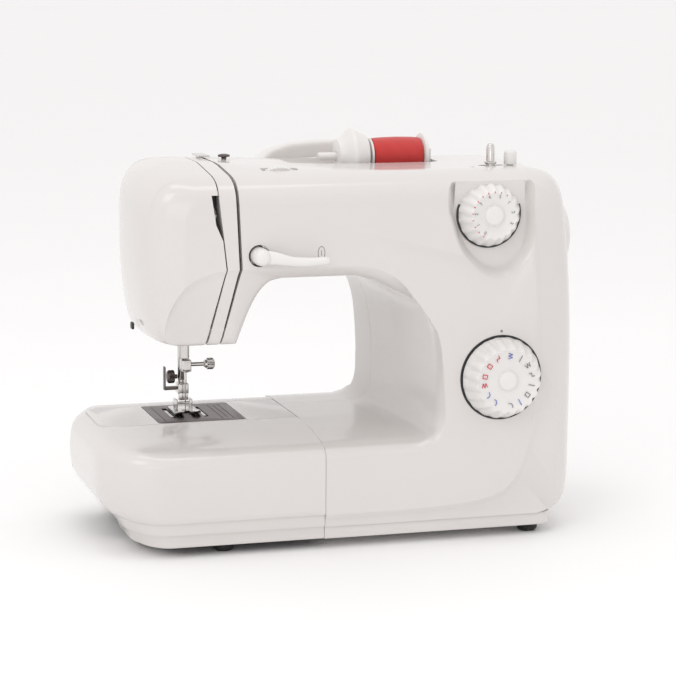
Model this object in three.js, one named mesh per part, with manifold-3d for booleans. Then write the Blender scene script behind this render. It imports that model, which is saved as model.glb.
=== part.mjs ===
// A compact free-arm sewing machine, built as separate named pieces.
// Millimetres, +X to the right, +Y to the back, +Z up. The origin is on the floor, at the middle.
import * as THREE from 'three';
import { mergeVertices } from 'three/addons/utils/BufferGeometryUtils.js';
import Module from 'manifold-3d';

// ---------------------------------------------------------------- driving dimensions
const LEFT_END = -186;
const RIGHT_END = 186;
const PANEL_FRONT = -78;
const SKIRT_STEP = 2;
const ARM_REAR = 78;
const BASE_REAR = 95;
const DIAL_FRONT = -95;
const WALL = 2.5;
const GAP = 0.3;
const SPLIT_Y = 46;

const BASE_BOTTOM = 7;
const LOWER_STEP = 16;
const UPPER_STEP = 25;
const BED_EDGE = 68;
const BED_TOP = 80.4;
const HEAD_BOTTOM = 146.7;
const ARM_UNDERSIDE = 191;
const ARM_TOP = 262;
const HEAD_TOP = 267.5;
const HEAD_LEFT = -161;
const SIDE_RIGHT = 161;
const TABLE_SEAM = -30.6;

const NEEDLE_X = -105.6;
const NEEDLE_Y = 30.3;
const PRESSER_Y = 41.5;
const SHAFT_Y = 30;
const SHAFT_Z = 203;
const LOWER_SHAFT_Y = 40;
const LOWER_SHAFT_Z = 44;
const HOOK_Z = 52;

const ARM_FRONT = -5;
const ARM_BACK = 66;
const FREE_ARM_LEFT = -174;
const FREE_ARM_BOTTOM = 30;

const LENGTH_DIAL = { x: 89, z: 230, radius: 27, back: -69, front: -84 };
const PATTERN_DIAL = { x: 97, z: 116.5, radius: 29.7, back: PANEL_FRONT, front: DIAL_FRONT };
const LEVER_HUB = { x: -78.4, z: 208.3, radius: 6 };
const SPOOL_AXIS = { y: 22, z: 265.3 };
const WINDER = { x: 102, y: -36, stopX: 117 };
const TENSION_WHEEL = { x: -55, y: -42, z: 247.5, radius: 18.5, width: 6 };
const HANDLE = { pivotY: 58, pivotZ: 253, left: -46, right: 74, gripY: 86, gripZ: 263 };
const TROUGH = { left: -36, right: 76, radius: 23 };
const MOTOR = { y: 0, z: 48, radius: 25, left: 56, right: 122, pulley: 8 };
const BELT_X = 130;
const BELT_WIDTH = 5;
const WHEEL_PULLEY = 20;
const TIMING_X = 98;
const TIMING_RADIUS = 11;
const BELT_THICK = 1.6;

// ---------------------------------------------------------------- solids and booleans
const wasm = await Module();
wasm.setup();

function toSolid(geometry) {
  const bare = geometry.index ? geometry.toNonIndexed() : geometry.clone();
  bare.deleteAttribute('normal');
  bare.deleteAttribute('uv');
  const merged = mergeVertices(bare, 1e-4);
  const points = merged.attributes.position.array;
  const corners = merged.index.array;
  const kept = [];
  let volume = 0;
  for (let i = 0; i < corners.length; i += 3) {
    const [a, b, c] = [corners[i], corners[i + 1], corners[i + 2]];
    if (a === b || b === c || a === c) continue;
    kept.push(a, b, c);
    const u = new THREE.Vector3().fromArray(points, 3 * a);
    const v = new THREE.Vector3().fromArray(points, 3 * b);
    const w = new THREE.Vector3().fromArray(points, 3 * c);
    volume += u.dot(v.cross(w));
  }
  if (volume < 0) {
    kept.reverse();
  }
  const mesh = new wasm.Mesh({
    numProp: 3,
    vertProperties: new Float32Array(points),
    triVerts: new Uint32Array(kept),
  });
  return new wasm.Manifold(mesh);
}

function toGeometry(solid) {
  const mesh = solid.getMesh();
  const geometry = new THREE.BufferGeometry();
  geometry.setAttribute('position', new THREE.BufferAttribute(new Float32Array(mesh.vertProperties), 3));
  geometry.setIndex(new THREE.BufferAttribute(new Uint32Array(mesh.triVerts), 1));
  return geometry;
}

function join(first, ...others) {
  return others.reduce((sum, next) => sum.add(next), first);
}

function cut(first, ...others) {
  return others.reduce((rest, next) => rest.subtract(next), first);
}

// ---------------------------------------------------------------- shapes
const point = (a, b) => new THREE.Vector2(a, b);
const points = (...pairs) => pairs.map(([a, b]) => point(a, b));
const curve = (pairs, steps) => new THREE.SplineCurve(points(...pairs)).getPoints(steps);

function arc(x, y, radius, fromDegrees, toDegrees, steps) {
  const turn = new THREE.EllipseCurve(x, y, radius, radius, THREE.MathUtils.degToRad(fromDegrees),
    THREE.MathUtils.degToRad(toDegrees), toDegrees < fromDegrees);
  return turn.getPoints(steps);
}

function roundedRectangle(x0, y0, x1, y1, radius, steps = 3) {
  return [
    ...arc(x0 + radius, y0 + radius, radius, 180, 270, steps),
    ...arc(x1 - radius, y0 + radius, radius, 270, 360, steps),
    ...arc(x1 - radius, y1 - radius, radius, 0, 90, steps),
    ...arc(x0 + radius, y1 - radius, radius, 90, 180, steps),
  ];
}

// Drops points that repeat the one before, as where an arc meets a straight side.
const tidy = (outline) => outline.filter((here, i) => here.distanceTo(outline.at(i - 1)) > 0.02);

// Moves every side of a closed outline by a distance: positive grows it, negative shrinks it.
function offset(corners, distance) {
  const outline = tidy(corners);
  const count = outline.length;
  const sign = THREE.ShapeUtils.area(outline) > 0 ? 1 : -1;
  return outline.map((here, i) => {
    const before = here.clone().sub(outline[(i + count - 1) % count]).normalize();
    const after = outline[(i + 1) % count].clone().sub(here).normalize();
    const normal = point(before.y + after.y, -before.x - after.x).normalize().multiplyScalar(sign);
    const side = point(before.y, -before.x).multiplyScalar(sign);
    const stretch = Math.max(0.5, normal.dot(side));
    return here.clone().addScaledVector(normal, distance / stretch);
  });
}

function extruded(outline, depth) {
  const shape = new THREE.Shape(tidy(outline));
  return new THREE.ExtrudeGeometry(shape, { depth, bevelEnabled: false, curveSegments: 1 });
}

function alongX(outline, x0, x1) {
  const axes = new THREE.Matrix4().makeBasis(new THREE.Vector3(0, 1, 0), new THREE.Vector3(0, 0, 1),
    new THREE.Vector3(1, 0, 0));
  return toSolid(extruded(outline, x1 - x0).applyMatrix4(axes).translate(x0, 0, 0));
}

function alongY(outline, y0, y1) {
  return toSolid(extruded(outline, y1 - y0).rotateX(Math.PI / 2).translate(0, y1, 0));
}

function alongZ(outline, z0, z1) {
  return toSolid(extruded(outline, z1 - z0).translate(0, 0, z0));
}

function block(x0, x1, y0, y1, z0, z1) {
  const box = new THREE.BoxGeometry(x1 - x0, y1 - y0, z1 - z0);
  return toSolid(box.translate((x0 + x1) / 2, (y0 + y1) / 2, (z0 + z1) / 2));
}

// A turned piece: the profile is a list of (radius, height) that starts and ends on the axis,
// or closes on itself when the piece has a bore. It stands on its own Z axis.
function turned(profile, segments = 20) {
  const closed = profile[0][0] > 0;
  const ring = points(...profile);
  if (closed) ring.push(ring[0].clone());
  return toSolid(new THREE.LatheGeometry(ring, segments).rotateX(Math.PI / 2));
}

const rod = (radius, z0, z1, segments = 14) => turned([[0, z0], [radius, z0], [radius, z1], [0, z1]],
    segments);
const tube = (inner, outer, z0, z1, segments = 16) =>
  turned([[inner, z0], [outer, z0], [outer, z1], [inner, z1]], segments);

const TO_X = [0, 90, 0];
const TO_Y = [-90, 0, 0];
const TO_FRONT = [90, 0, 0];
const rodX = (radius, x0, x1, y, z, segments) => rod(radius, x0, x1,
    segments).rotate(TO_X).translate([0, y, z]);
const rodY = (radius, y0, y1, x, z, segments) => rod(radius, y0, y1,
    segments).rotate(TO_Y).translate([x, 0, z]);
const rodZ = (radius, z0, z1, x, y, segments) => rod(radius, z0, z1, segments).translate([x, y, 0]);

// A solid skinned over outlines with equal point counts, each at its own Y.
function loft(stations) {
  const count = stations[0].outline.length;
  const position = [];
  for (const { outline, y } of stations) {
    for (const p of outline) position.push(p.x, y, p.y);
  }
  const index = [];
  for (let s = 0; s + 1 < stations.length; s += 1) {
    for (let i = 0; i < count; i += 1) {
      const [a, b] = [s * count + i, s * count + ((i + 1) % count)];
      index.push(a, b, b + count, a, b + count, a + count);
    }
  }
  const last = (stations.length - 1) * count;
  const forward = THREE.ShapeUtils.area(stations[0].outline) > 0;
  for (const [a, b, c] of THREE.ShapeUtils.triangulateShape(stations[0].outline, [])) {
    index.push(...(forward ? [a, c, b] : [a, b, c]));
  }
  for (const [a, b, c] of THREE.ShapeUtils.triangulateShape(stations.at(-1).outline, [])) {
    index.push(...(forward ? [last + a, last + b, last + c] : [last + a, last + c, last + b]));
  }
  if (!forward) {
    const sides = (stations.length - 1) * count * 6;
    for (let i = 0; i < sides; i += 3) [index[i + 1], index[i + 2]] = [index[i + 2], index[i + 1]];
  }
  const flipped = [];
  for (let i = 0; i < index.length; i += 3) flipped.push(index[i], index[i + 2], index[i + 1]);
  const sides = (stations.length - 1) * count * 6;
  const geometry = new THREE.BufferGeometry();
  geometry.setAttribute('position', new THREE.Float32BufferAttribute(position, 3));
  geometry.setIndex([...index.slice(0, sides), ...flipped.slice(sides)]);
  return toSolid(geometry);
}

// ---------------------------------------------------------------- finishes
const finish = (color, roughness, metalness = 0) => new THREE.MeshStandardMaterial({ color, roughness,
    metalness });
const SHELL_WHITE = finish(0xe8e4e1, 0.25);
const PART_WHITE = finish(0xf2efec, 0.3);
const BLACK_RUBBER = finish(0x1a1a1a, 0.8);
const BLACK_PLASTIC = finish(0x202022, 0.4);
const STEEL = finish(0xb9b4b0, 0.25, 1);
const DARK_STEEL = finish(0x5f5553, 0.35, 1);
const CAST_ALLOY = finish(0x9c9c9c, 0.55, 0.8);
const RED_THREAD = finish(0xd23030, 0.7);
const LAMP_GLASS = finish(0xf6f3e8, 0.1);
const MOTOR_GREY = finish(0x4a4c50, 0.5, 0.6);

const machine = new THREE.Group();

function piece(name, solid, material, place = [0, 0, 0]) {
  const mesh = new THREE.Mesh(toGeometry(solid), material);
  mesh.name = name;
  mesh.position.set(...place);
  machine.add(mesh);
  return mesh;
}

// ---------------------------------------------------------------- outer shape of the body
// The silhouette from the front: head, arm and pillar in one outline.
function silhouette() {
  return [
    ...curve([[-138, HEAD_BOTTOM], [-150, 150], [-156, 162], [-160.5, 195], [HEAD_LEFT, 235]], 8),
    ...curve([[-159.5, 249], [-153, 260], [-142, 265], [-125, HEAD_TOP], [-100, HEAD_TOP - 1]], 6),
    ...points([-40, 263.5], [20, ARM_TOP], [124, ARM_TOP]),
    ...curve([[139, 258.5], [148, 250], [153, 236], [158, 195], [SIDE_RIGHT, 140], [SIDE_RIGHT, 70]], 7),
    ...points([157, LOWER_STEP], [TABLE_SEAM, LOWER_STEP], [TABLE_SEAM, 100], [-60, 120]),
  ];
}

// The outline from above, shared by the head, the pillar and the base.
function plan() {
  return [
    ...curve([[-130, PANEL_FRONT], [-147, -72], [-156, -55], [-158.5, -25], [-157.5, 5], [-152.5, 30],
      [-145, 50], [-134, 66], [-115, ARM_REAR]], 10),
    ...points([-60, ARM_REAR + 1], [-40, BASE_REAR], [128, BASE_REAR]),
    ...curve([[146, 88], [157, 66], [SIDE_RIGHT, 20], [SIDE_RIGHT, -30], [158, -54], [150, -69],
      [137, PANEL_FRONT]], 8),
  ];
}

// The outline from the side: flat front, crowned top, a back that widens into the base.
function sideProfile() {
  return [
    ...points([PANEL_FRONT, LOWER_STEP], [PANEL_FRONT, 243]),
    ...curve([[-77, 250], [-72, 256.5], [-62, 260.5], [-45, 263], [0, 268], [30, 266.5], [52, 260],
      [68, 250], [76, 236]], 10),
    ...points([ARM_REAR, 225], [ARM_REAR, 104]),
    ...curve([[80, 92], [86, 80], [93, 72], [BASE_REAR, 62]], 3),
    ...points([BASE_REAR, LOWER_STEP]),
  ];
}

// The open space under the arm, as outlines at four depths. The front one is the crease round the
// opening, the next is the clear opening, and the wall of the pillar slants in towards the back.
function openingStation(y, left, underside, right, bed) {
  const outline = [
    ...points([-240, bed], [-240, HEAD_BOTTOM], [left.foot, HEAD_BOTTOM]),
    ...curve(left.rise, 6),
    ...curve([[right.start, underside], [right.start + right.radius * 0.55, underside - right.radius * 0.2],
      [right.wall - right.radius * 0.2, underside - right.radius * 0.7],
      [right.wall - right.lean, underside - right.radius * 1.5], [right.wall, 110]], 7),
    ...curve([[right.wall, bed + 16], [right.wall - 4, bed + 5], [right.wall - 16, bed]], 4),
  ];
  return { outline, y };
}

function opening(growth) {
  const creaseLeft = { foot: -150, rise: [[-147.6, 160.5], [-139, 180], [-122, 195.5], [-91, 199.2]] };
  const clearLeft = { foot: -92, rise: [[-88, 157], [-79, 178], [-71, 188], [-62, ARM_UNDERSIDE]] };
  const crease = { start: -10, radius: 40, wall: 56, lean: 3 };
  const middle = { start: -8, radius: 38, wall: 52, lean: 1 };
  const rear = { start: 1, radius: 30, wall: 36, lean: 0 };
  const stations = [
    openingStation(PANEL_FRONT - 1, creaseLeft, 199.2, crease, BED_EDGE - 0.5),
    openingStation(PANEL_FRONT + 11, clearLeft, ARM_UNDERSIDE, middle, BED_EDGE + 7),
    openingStation(-3, clearLeft, ARM_UNDERSIDE, { ...middle, wall: 44 }, BED_TOP),
    openingStation(BASE_REAR + 1, clearLeft, ARM_UNDERSIDE, rear, BED_TOP),
  ];
  return loft(stations.map(({ outline, y }) => ({ outline: offset(outline, growth), y })));
}

// The line where the raised front panel ends, low along the base and up the right side.
function sweep() {
  return curve([[-60, UPPER_STEP], [28, 25.3], [68, 27.4], [95, 33], [114, 45], [127, 62], [135, 90],
    [139, 125], [139.5, 160], [137, 210], [135, 280]], 14);
}

const dialRecess = (growth) => {
  const { x, z, radius } = LENGTH_DIAL;
  const lip = radius + 5 + growth;
  const outline = [...arc(x, z - 3, lip, 180, 360, 10), point(x + lip, ARM_TOP + 20), point(x - lip,
      ARM_TOP + 20)];
  return alongY(outline, PANEL_FRONT - 5, LENGTH_DIAL.back + growth).intersect(
    block(x - 60, x + 60, PANEL_FRONT - 5, LENGTH_DIAL.back + growth, 100, 259 + growth));
};
const spoolTrough = (growth) =>
  rodX(TROUGH.radius + growth, TROUGH.left - growth, TROUGH.right + growth, SPOOL_AXIS.y, SPOOL_AXIS.z, 20);
const handleTray = (growth) =>
  block(HANDLE.left - 6 - growth, HANDLE.right + 6 + growth, SPLIT_Y + 1 - growth, ARM_REAR + 20,
    HANDLE.pivotZ - 7 - growth, 300);

function bodySolid(inset) {
  const seen = offset(silhouette(), -inset);
  const above = offset(plan(), -inset);
  const side = offset(sideProfile(), -inset);
  const upper = alongY(seen, PANEL_FRONT - 5, BASE_REAR + 5)
    .intersect(alongZ(above, 0, 300))
    .intersect(alongX(side, LEFT_END, RIGHT_END));
  const step = SKIRT_STEP * 2 + inset;
  const foot = roundedRectangle(TABLE_SEAM + inset, PANEL_FRONT + step, 142 - inset, BASE_REAR - step,
      10, 3);
  const squareLeft = block(TABLE_SEAM + inset, 60, PANEL_FRONT + step, BASE_REAR - step, BASE_BOTTOM,
      LOWER_STEP + 1);
  const lower = alongZ(foot, BASE_BOTTOM, LOWER_STEP + inset + 1).add(squareLeft);
  const growth = inset > 0 ? WALL : 0;
  const outside = [...sweep(), point(200, 280), point(200, 0), point(-60, 0)];
  const skirt = alongY(outside, PANEL_FRONT - 2, PANEL_FRONT + SKIRT_STEP + inset);
  return cut(upper.add(lower), opening(growth), dialRecess(growth), spoolTrough(growth),
      handleTray(growth), skirt);
}

// ---------------------------------------------------------------- covers
const below = block(LEFT_END, RIGHT_END, -100, 100, -20, BASE_BOTTOM + WALL * 3);
const hollow = bodySolid(WALL).add(below.intersect(
  block(TABLE_SEAM + WALL, 139, PANEL_FRONT + 6.5, BASE_REAR - 6.5, -20, LOWER_STEP + 4)));
const shell = bodySolid(0).subtract(hollow);

// Thread slots: the left one opens wide where the take-up lever works. The rib lies between them.
const slotLeft = [[-107.4, 290], [-107.4, 199], [-118, HEAD_BOTTOM - 10]];
const slotRight = [[-94.5, 290], [-94.5, 199], [-104.5, 163]];
const SLOT = 0.9;
const strip = (line, width) => [
  ...line.map(([x, z]) => point(x - width, z)),
  ...[...line].reverse().map(([x, z]) => point(x + width, z)),
];
const takeUpWindow = roundedRectangle(-110.5, 223, -105.2, 257, 2);
const slots = join(
  alongY(strip(slotLeft, SLOT), -90, -44),
  alongY(strip(slotRight, SLOT), -90, 28),
  alongY(takeUpWindow, -90, -55),
);
const seam = alongY(strip(slotLeft, GAP / 2), -100, 120);
const leftOfSeam = alongY([...points([-107.4, 290], [-107.4, 199], [-118, 136.7], [-200, 136.7], [-200,
    290])],
  -100, 120);
const ribOutline = points([-107.4, 290], [-107.4, 199], [-113.53, 163], [-104.5, 163], [-94.5, 199],
    [-94.5, 290]);
const ribZone = (growth) => alongY(offset(ribOutline, growth), -90, 28 + growth);
const needleOpening = alongZ(roundedRectangle(-140, -20, -95, 56, 8), HEAD_BOTTOM - 10, HEAD_BOTTOM + 8);

const faceShell = cut(shell.intersect(leftOfSeam), seam, slots, needleOpening);
piece('face_cover', faceShell, SHELL_WHITE);

piece('thread_guide_rib', shell.intersect(ribZone(0)).subtract(slots).subtract(seam), SHELL_WHITE);

const armPassage = block(TABLE_SEAM - 5, TABLE_SEAM + 10, ARM_FRONT + 3, ARM_BACK - 3,
    FREE_ARM_BOTTOM + 3, BED_TOP - 4);
const traySlot = block(TABLE_SEAM - 5, TABLE_SEAM + 10, PANEL_FRONT + 7, BASE_REAR - 7, 0, BASE_BOTTOM + 4);
const mainShell = cut(shell, leftOfSeam, seam, slots, ribZone(GAP), needleOpening, armPassage, traySlot);
const lengthHole = rodY(5, -80, -60, LENGTH_DIAL.x, LENGTH_DIAL.z);
const patternHole = rodY(5, -90, -60, PATTERN_DIAL.x, PATTERN_DIAL.z);
const leverHole = rodY(7.4, -90, -60, LEVER_HUB.x, LEVER_HUB.z, 20);
const winderSlot = alongZ(roundedRectangle(WINDER.x - 9, WINDER.y - 3.5, WINDER.x + 10, WINDER.y + 3.5,
    3.4), 240, 280);
const stopHole = rodZ(2.6, 240, 280, WINDER.stopX, WINDER.y);
const wheelSlot = block(TENSION_WHEEL.x - 15, TENSION_WHEEL.x + 15, TENSION_WHEEL.y - 4.2,
    TENSION_WHEEL.y + 4.2, 240, 280);
const studHole = rodZ(2, 240, 280, -80, 16);
const guideHole = rodZ(1.7, 240, 280, -94.5, 34);
const shaftHole = rodX(8, 150, 190, SHAFT_Y, SHAFT_Z, 20);
const frontHalf = block(-200, 200, -120, SPLIT_Y - GAP / 2, 0, 300);
const rearHalf = block(-200, 200, SPLIT_Y + GAP / 2, 120, 0, 300);
const frontCover = cut(mainShell.intersect(frontHalf), lengthHole, patternHole, leverHole, winderSlot,
    stopHole,
  wheelSlot, studHole, guideHole, shaftHole);
piece('front_cover', frontCover, SHELL_WHITE);

const inletX = 146;
const inletOpening = block(inletX, 170, 46, 74, 48, 68);
const switchOpening = block(inletX, 170, 50, 70, 76, 96);
const lifterHole = rodY(6.4, 60, 90, -96, 178);
const handlePins = [HANDLE.left - 4, HANDLE.right + 4].map((x) =>
  rodX(2.5, x - 8, x + 8, HANDLE.pivotY, HANDLE.pivotZ, 12));
piece('rear_cover', cut(mainShell.intersect(rearHalf), inletOpening, switchOpening, lifterHole, shaftHole,
  ...handlePins), SHELL_WHITE);

// ---------------------------------------------------------------- base, feet and table
const tray = [
  ...roundedRectangle(-158, PANEL_FRONT + 8, 0, BASE_REAR - 8, 38, 4).filter((p) => p.x < -100),
];
tray.splice(5, 0, ...points([136, PANEL_FRONT + 8], [136, BASE_REAR - 8]));
piece('base_tray', alongZ(tray, BASE_BOTTOM + 0.5, BASE_BOTTOM + 3.5), BLACK_PLASTIC);
const feet = { front_left: [-99, -57], front_right: [126, -59], rear_left: [-134, 68],
    rear_right: [120, 76] };
const footProfile = [[0, 0], [5.5, 0], [7.5, 1.5], [7.5, BASE_BOTTOM + 0.2], [0, BASE_BOTTOM + 0.2]];
for (const [corner, [x, y]] of Object.entries(feet)) {
  piece(`foot_${corner}`, turned(footProfile, 16), BLACK_RUBBER, [x, y, 0]);
}

const TABLE_CORNER = 42;

function tablePlan(inset, left) {
  const [front, rear] = [PANEL_FRONT + inset, BASE_REAR - inset];
  return [
    ...arc(left + TABLE_CORNER, front + TABLE_CORNER, TABLE_CORNER, 180, 270, 6),
    ...points([TABLE_SEAM - GAP, front], [TABLE_SEAM - GAP, rear]),
    ...arc(left + TABLE_CORNER, rear - TABLE_CORNER, TABLE_CORNER, 90, 180, 4),
  ];
}

function bedProfile() {
  return [
    ...points([PANEL_FRONT, UPPER_STEP], [PANEL_FRONT, BED_EDGE - 3]),
    ...curve([[-77.4, 68], [-74, 71.5], [-66, 74.5], [-40, 78.4], [-5, BED_TOP]], 6),
    ...points([70, BED_TOP]),
    ...curve([[84, 78], [92, 72], [BASE_REAR, 62]], 4),
    ...points([BASE_REAR, UPPER_STEP]),
  ];
}

const tableEnd = () => [
  ...points([TABLE_SEAM + 5, UPPER_STEP], [-170, UPPER_STEP], [-183, 34]),
  ...curve([[LEFT_END, 58], [-184, 70], [-177, 77.5], [-166, BED_TOP]], 5),
  ...points([TABLE_SEAM + 5, BED_TOP + 1]),
];

function tableSolid(inset) {
  const top = alongZ(offset(tablePlan(0, LEFT_END), -inset), 0, 100)
    .intersect(alongX(offset(bedProfile(), -inset), LEFT_END - 5, TABLE_SEAM + 5))
    .intersect(alongY(offset(tableEnd(), -inset), -100, 100));
  const middle = alongZ(offset(tablePlan(SKIRT_STEP, -167), -inset), LOWER_STEP - inset,
      UPPER_STEP + inset + 1);
  const bottom = alongZ(offset(tablePlan(SKIRT_STEP * 2, -164), -inset), BASE_BOTTOM - inset,
    LOWER_STEP + inset + 1);
  return join(top, middle, bottom);
}

const armPlan = (growth) => offset([
  ...arc(FREE_ARM_LEFT + 14, ARM_FRONT + 14, 14, 180, 270, 4),
  ...points([TABLE_SEAM, ARM_FRONT], [TABLE_SEAM, ARM_BACK]),
  ...arc(FREE_ARM_LEFT + 14, ARM_BACK - 14, 14, 90, 180, 4),
], growth);
const openRight = block(TABLE_SEAM - 10, TABLE_SEAM + 10, PANEL_FRONT + 7, BASE_REAR - 7, 0, BED_EDGE - 6);
const tableSkirt = alongZ(armPlan(2.4), 44, BED_TOP - 1);
const tableHollow = tableSolid(WALL).subtract(tableSkirt);
const armGap = alongZ(armPlan(0.4), 0, 100).add(block(-60, TABLE_SEAM + 5, ARM_FRONT - 0.4,
    ARM_BACK + 0.4, 0, 100));
piece('extension_table', cut(tableSolid(0), tableHollow, openRight, armGap), SHELL_WHITE);

// ---------------------------------------------------------------- free arm
const armTop = () => [
  ...points([ARM_FRONT, FREE_ARM_BOTTOM + 8], [ARM_FRONT, BED_TOP], [ARM_BACK, BED_TOP],
    [ARM_BACK, FREE_ARM_BOTTOM + 8], [ARM_BACK - 8, FREE_ARM_BOTTOM], [ARM_FRONT + 8, FREE_ARM_BOTTOM]),
];
const armSolid = (inset) => alongZ(armPlan(-inset), 0, 100)
  .intersect(alongX(offset(armTop(), -inset), FREE_ARM_LEFT - 5, TABLE_SEAM + 5));
const armBody = armSolid(0).subtract(armSolid(WALL).add(
  block(-60, TABLE_SEAM + 5, ARM_FRONT + WALL, ARM_BACK - WALL, FREE_ARM_BOTTOM + 8, BED_TOP - WALL)));
const plateOutline = (growth) => offset(roundedRectangle(-132, -2.5, -68.5, 61.5, 2, 2), growth);
const doorOutline = (growth) => offset(roundedRectangle(-140, 36, -76, 76, 5, 2), growth);
const doorCut = alongY(doorOutline(GAP), ARM_FRONT - 5, ARM_FRONT + 6);
const plateCut = alongZ(plateOutline(GAP), BED_TOP - 2, BED_TOP + 5);
const plateWindow = block(-129, -71.5, 0.5, 58.5, BED_TOP - 8, BED_TOP + 5);
piece('free_arm_cover', cut(armBody, doorCut, plateCut, plateWindow), SHELL_WHITE);
piece('bobbin_door', alongY(doorOutline(0), ARM_FRONT, ARM_FRONT + 2), SHELL_WHITE);

const needleSlot = roundedRectangle(NEEDLE_X - 4, NEEDLE_Y - 1.3, NEEDLE_X + 4, NEEDLE_Y + 1.3, 1.2, 2);
const feedSlots = [-12, -6.2, 6.2, 12].map((dx) =>
  roundedRectangle(NEEDLE_X + dx - 1.7, NEEDLE_Y - 16, NEEDLE_X + dx + 1.7, NEEDLE_Y + 20, 0.6, 1));
const plateHoles = [needleSlot, ...feedSlots].map((slot) => alongZ(slot, BED_TOP - 5, BED_TOP + 5));
piece('needle_plate', cut(alongZ(plateOutline(0), BED_TOP - 1.6, BED_TOP), ...plateHoles), DARK_STEEL);

const feedBars = [-12, -6.2, 6.2, 12].map((dx) =>
  block(NEEDLE_X + dx - 1.1, NEEDLE_X + dx + 1.1, NEEDLE_Y - 11, NEEDLE_Y + 14, 73, BED_TOP - 0.4));
piece('feed_dog', join(block(NEEDLE_X - 13.1, NEEDLE_X + 13.1, NEEDLE_Y + 4, NEEDLE_Y + 14, 70.5,
    74.5), ...feedBars),
  STEEL);

// ---------------------------------------------------------------- hook, bobbin case and bobbin
const HOOK_Y = 19;
const hook = turned([[0, 0], [2.6, 0], [2.6, 11], [13.5, 11], [13.5, 8], [15.6, 8], [15.6, 15], [6, 15],
  [6, 17], [0, 17]], 24);
piece('shuttle_hook', hook.subtract(block(6, 18, -2.5, 2.5, 5, 12)).rotate(TO_Y).translate([0, 8, 0]),
    STEEL,
  [NEEDLE_X, 0, HOOK_Z]);
piece('shuttle_race', tube(16, 18, 0, 9, 28).rotate(TO_Y), CAST_ALLOY, [NEEDLE_X, HOOK_Y - 4, HOOK_Z]);
const bobbinCase = turned([[3.2, 0], [12.4, 0], [12.4, 12], [11.6, 12], [11.6, 0.9], [3.2, 0.9]], 24);
piece('bobbin_case', bobbinCase.rotate(TO_Y), STEEL, [NEEDLE_X, 5, HOOK_Z]);
const bobbin = turned([[3, 0], [10.4, 0], [10.4, 0.8], [4.6, 0.8], [4.6, 8.4], [10.4, 8.4], [10.4, 9.2],
  [3, 9.2]], 20);
piece('bobbin', bobbin.rotate(TO_Y), finish(0xd9d5cc, 0.2), [NEEDLE_X, 8.5, HOOK_Z]);

// ---------------------------------------------------------------- shafts, belts and motor
const shaft = join(rodX(4, -93.9, 160, SHAFT_Y, SHAFT_Z),
  rodX(TIMING_RADIUS, TIMING_X - 5, TIMING_X + 5, SHAFT_Y, SHAFT_Z, 18),
  rodX(WHEEL_PULLEY, BELT_X - 4, BELT_X + 4, SHAFT_Y, SHAFT_Z, 24));
piece('upper_shaft', shaft, STEEL);
const CRANK_THROW = 14;
const crank = turned([[0, 0], [17, 0], [17, 5], [0, 5]], 20)
  .add(rod(2.2, -1, 1).translate([CRANK_THROW, 0, 0]));
piece('crank_disc', crank.rotate(TO_X), CAST_ALLOY, [-99.2, SHAFT_Y, SHAFT_Z]);
const wheel = turned([[0, 3], [4.3, 3], [4.3, 0], [23, 0], [25.5, 1.5], [27.5, 4], [27.5, 13], [26,
    16.5], [22, 19],
  [12, 21.5], [8, 22.7], [0, 23]], 32);
piece('handwheel', wheel.rotate(TO_X), PART_WHITE, [RIGHT_END - 23, SHAFT_Y, SHAFT_Z]);

const lowerShaft = join(rodX(3.5, NEEDLE_X + 20, TIMING_X + 8, LOWER_SHAFT_Y, LOWER_SHAFT_Z),
  rodX(TIMING_RADIUS, TIMING_X - 5, TIMING_X + 5, LOWER_SHAFT_Y, LOWER_SHAFT_Z, 18),
  rodX(8, NEEDLE_X + 17, NEEDLE_X + 23, LOWER_SHAFT_Y, LOWER_SHAFT_Z, 16));
piece('lower_shaft', lowerShaft, STEEL);

const motorBody = join(rodX(MOTOR.radius, MOTOR.left, MOTOR.right - 14, MOTOR.y, MOTOR.z, 22),
  rodX(9, MOTOR.right - 16, MOTOR.right - 6, MOTOR.y, MOTOR.z, 14));
piece('motor', motorBody, MOTOR_GREY);
const pulley = turned([[0, -8], [3, -8], [3, -4], [MOTOR.pulley, -4], [MOTOR.pulley, 4], [0, 4]], 16);
piece('motor_pulley', pulley.rotate(TO_X), STEEL, [BELT_X, MOTOR.y, MOTOR.z]);

// A belt runs round two pulleys: arcs on each, joined by straight runs.
function beltLoop(low, high, growth) {
  const [dy, dz] = [high.y - low.y, high.z - low.z];
  const span = Math.hypot(dy, dz);
  const lean = THREE.MathUtils.radToDeg(Math.atan2(dz, dy));
  const open = THREE.MathUtils.radToDeg(Math.acos((low.r - high.r) / span));
  return [
    ...arc(low.y, low.z, low.r + growth, lean + open, lean + 360 - open, 12),
    ...arc(high.y, high.z, high.r + growth, lean - open, lean + open, 12),
  ];
}

function belt(low, high, x) {
  const outer = alongX(beltLoop(low, high, GAP + BELT_THICK), x - BELT_WIDTH / 2, x + BELT_WIDTH / 2);
  return outer.subtract(alongX(beltLoop(low, high, GAP), x - BELT_WIDTH, x + BELT_WIDTH));
}

const motorEnd = { y: MOTOR.y, z: MOTOR.z, r: MOTOR.pulley };
const wheelEnd = { y: SHAFT_Y, z: SHAFT_Z, r: WHEEL_PULLEY };
const timingLow = { y: LOWER_SHAFT_Y, z: LOWER_SHAFT_Z, r: TIMING_RADIUS };
const timingHigh = { y: SHAFT_Y, z: SHAFT_Z, r: TIMING_RADIUS };
piece('drive_belt', belt(motorEnd, wheelEnd, BELT_X), BLACK_RUBBER);
piece('timing_belt', belt(timingLow, timingHigh, TIMING_X), BLACK_RUBBER);

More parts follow.
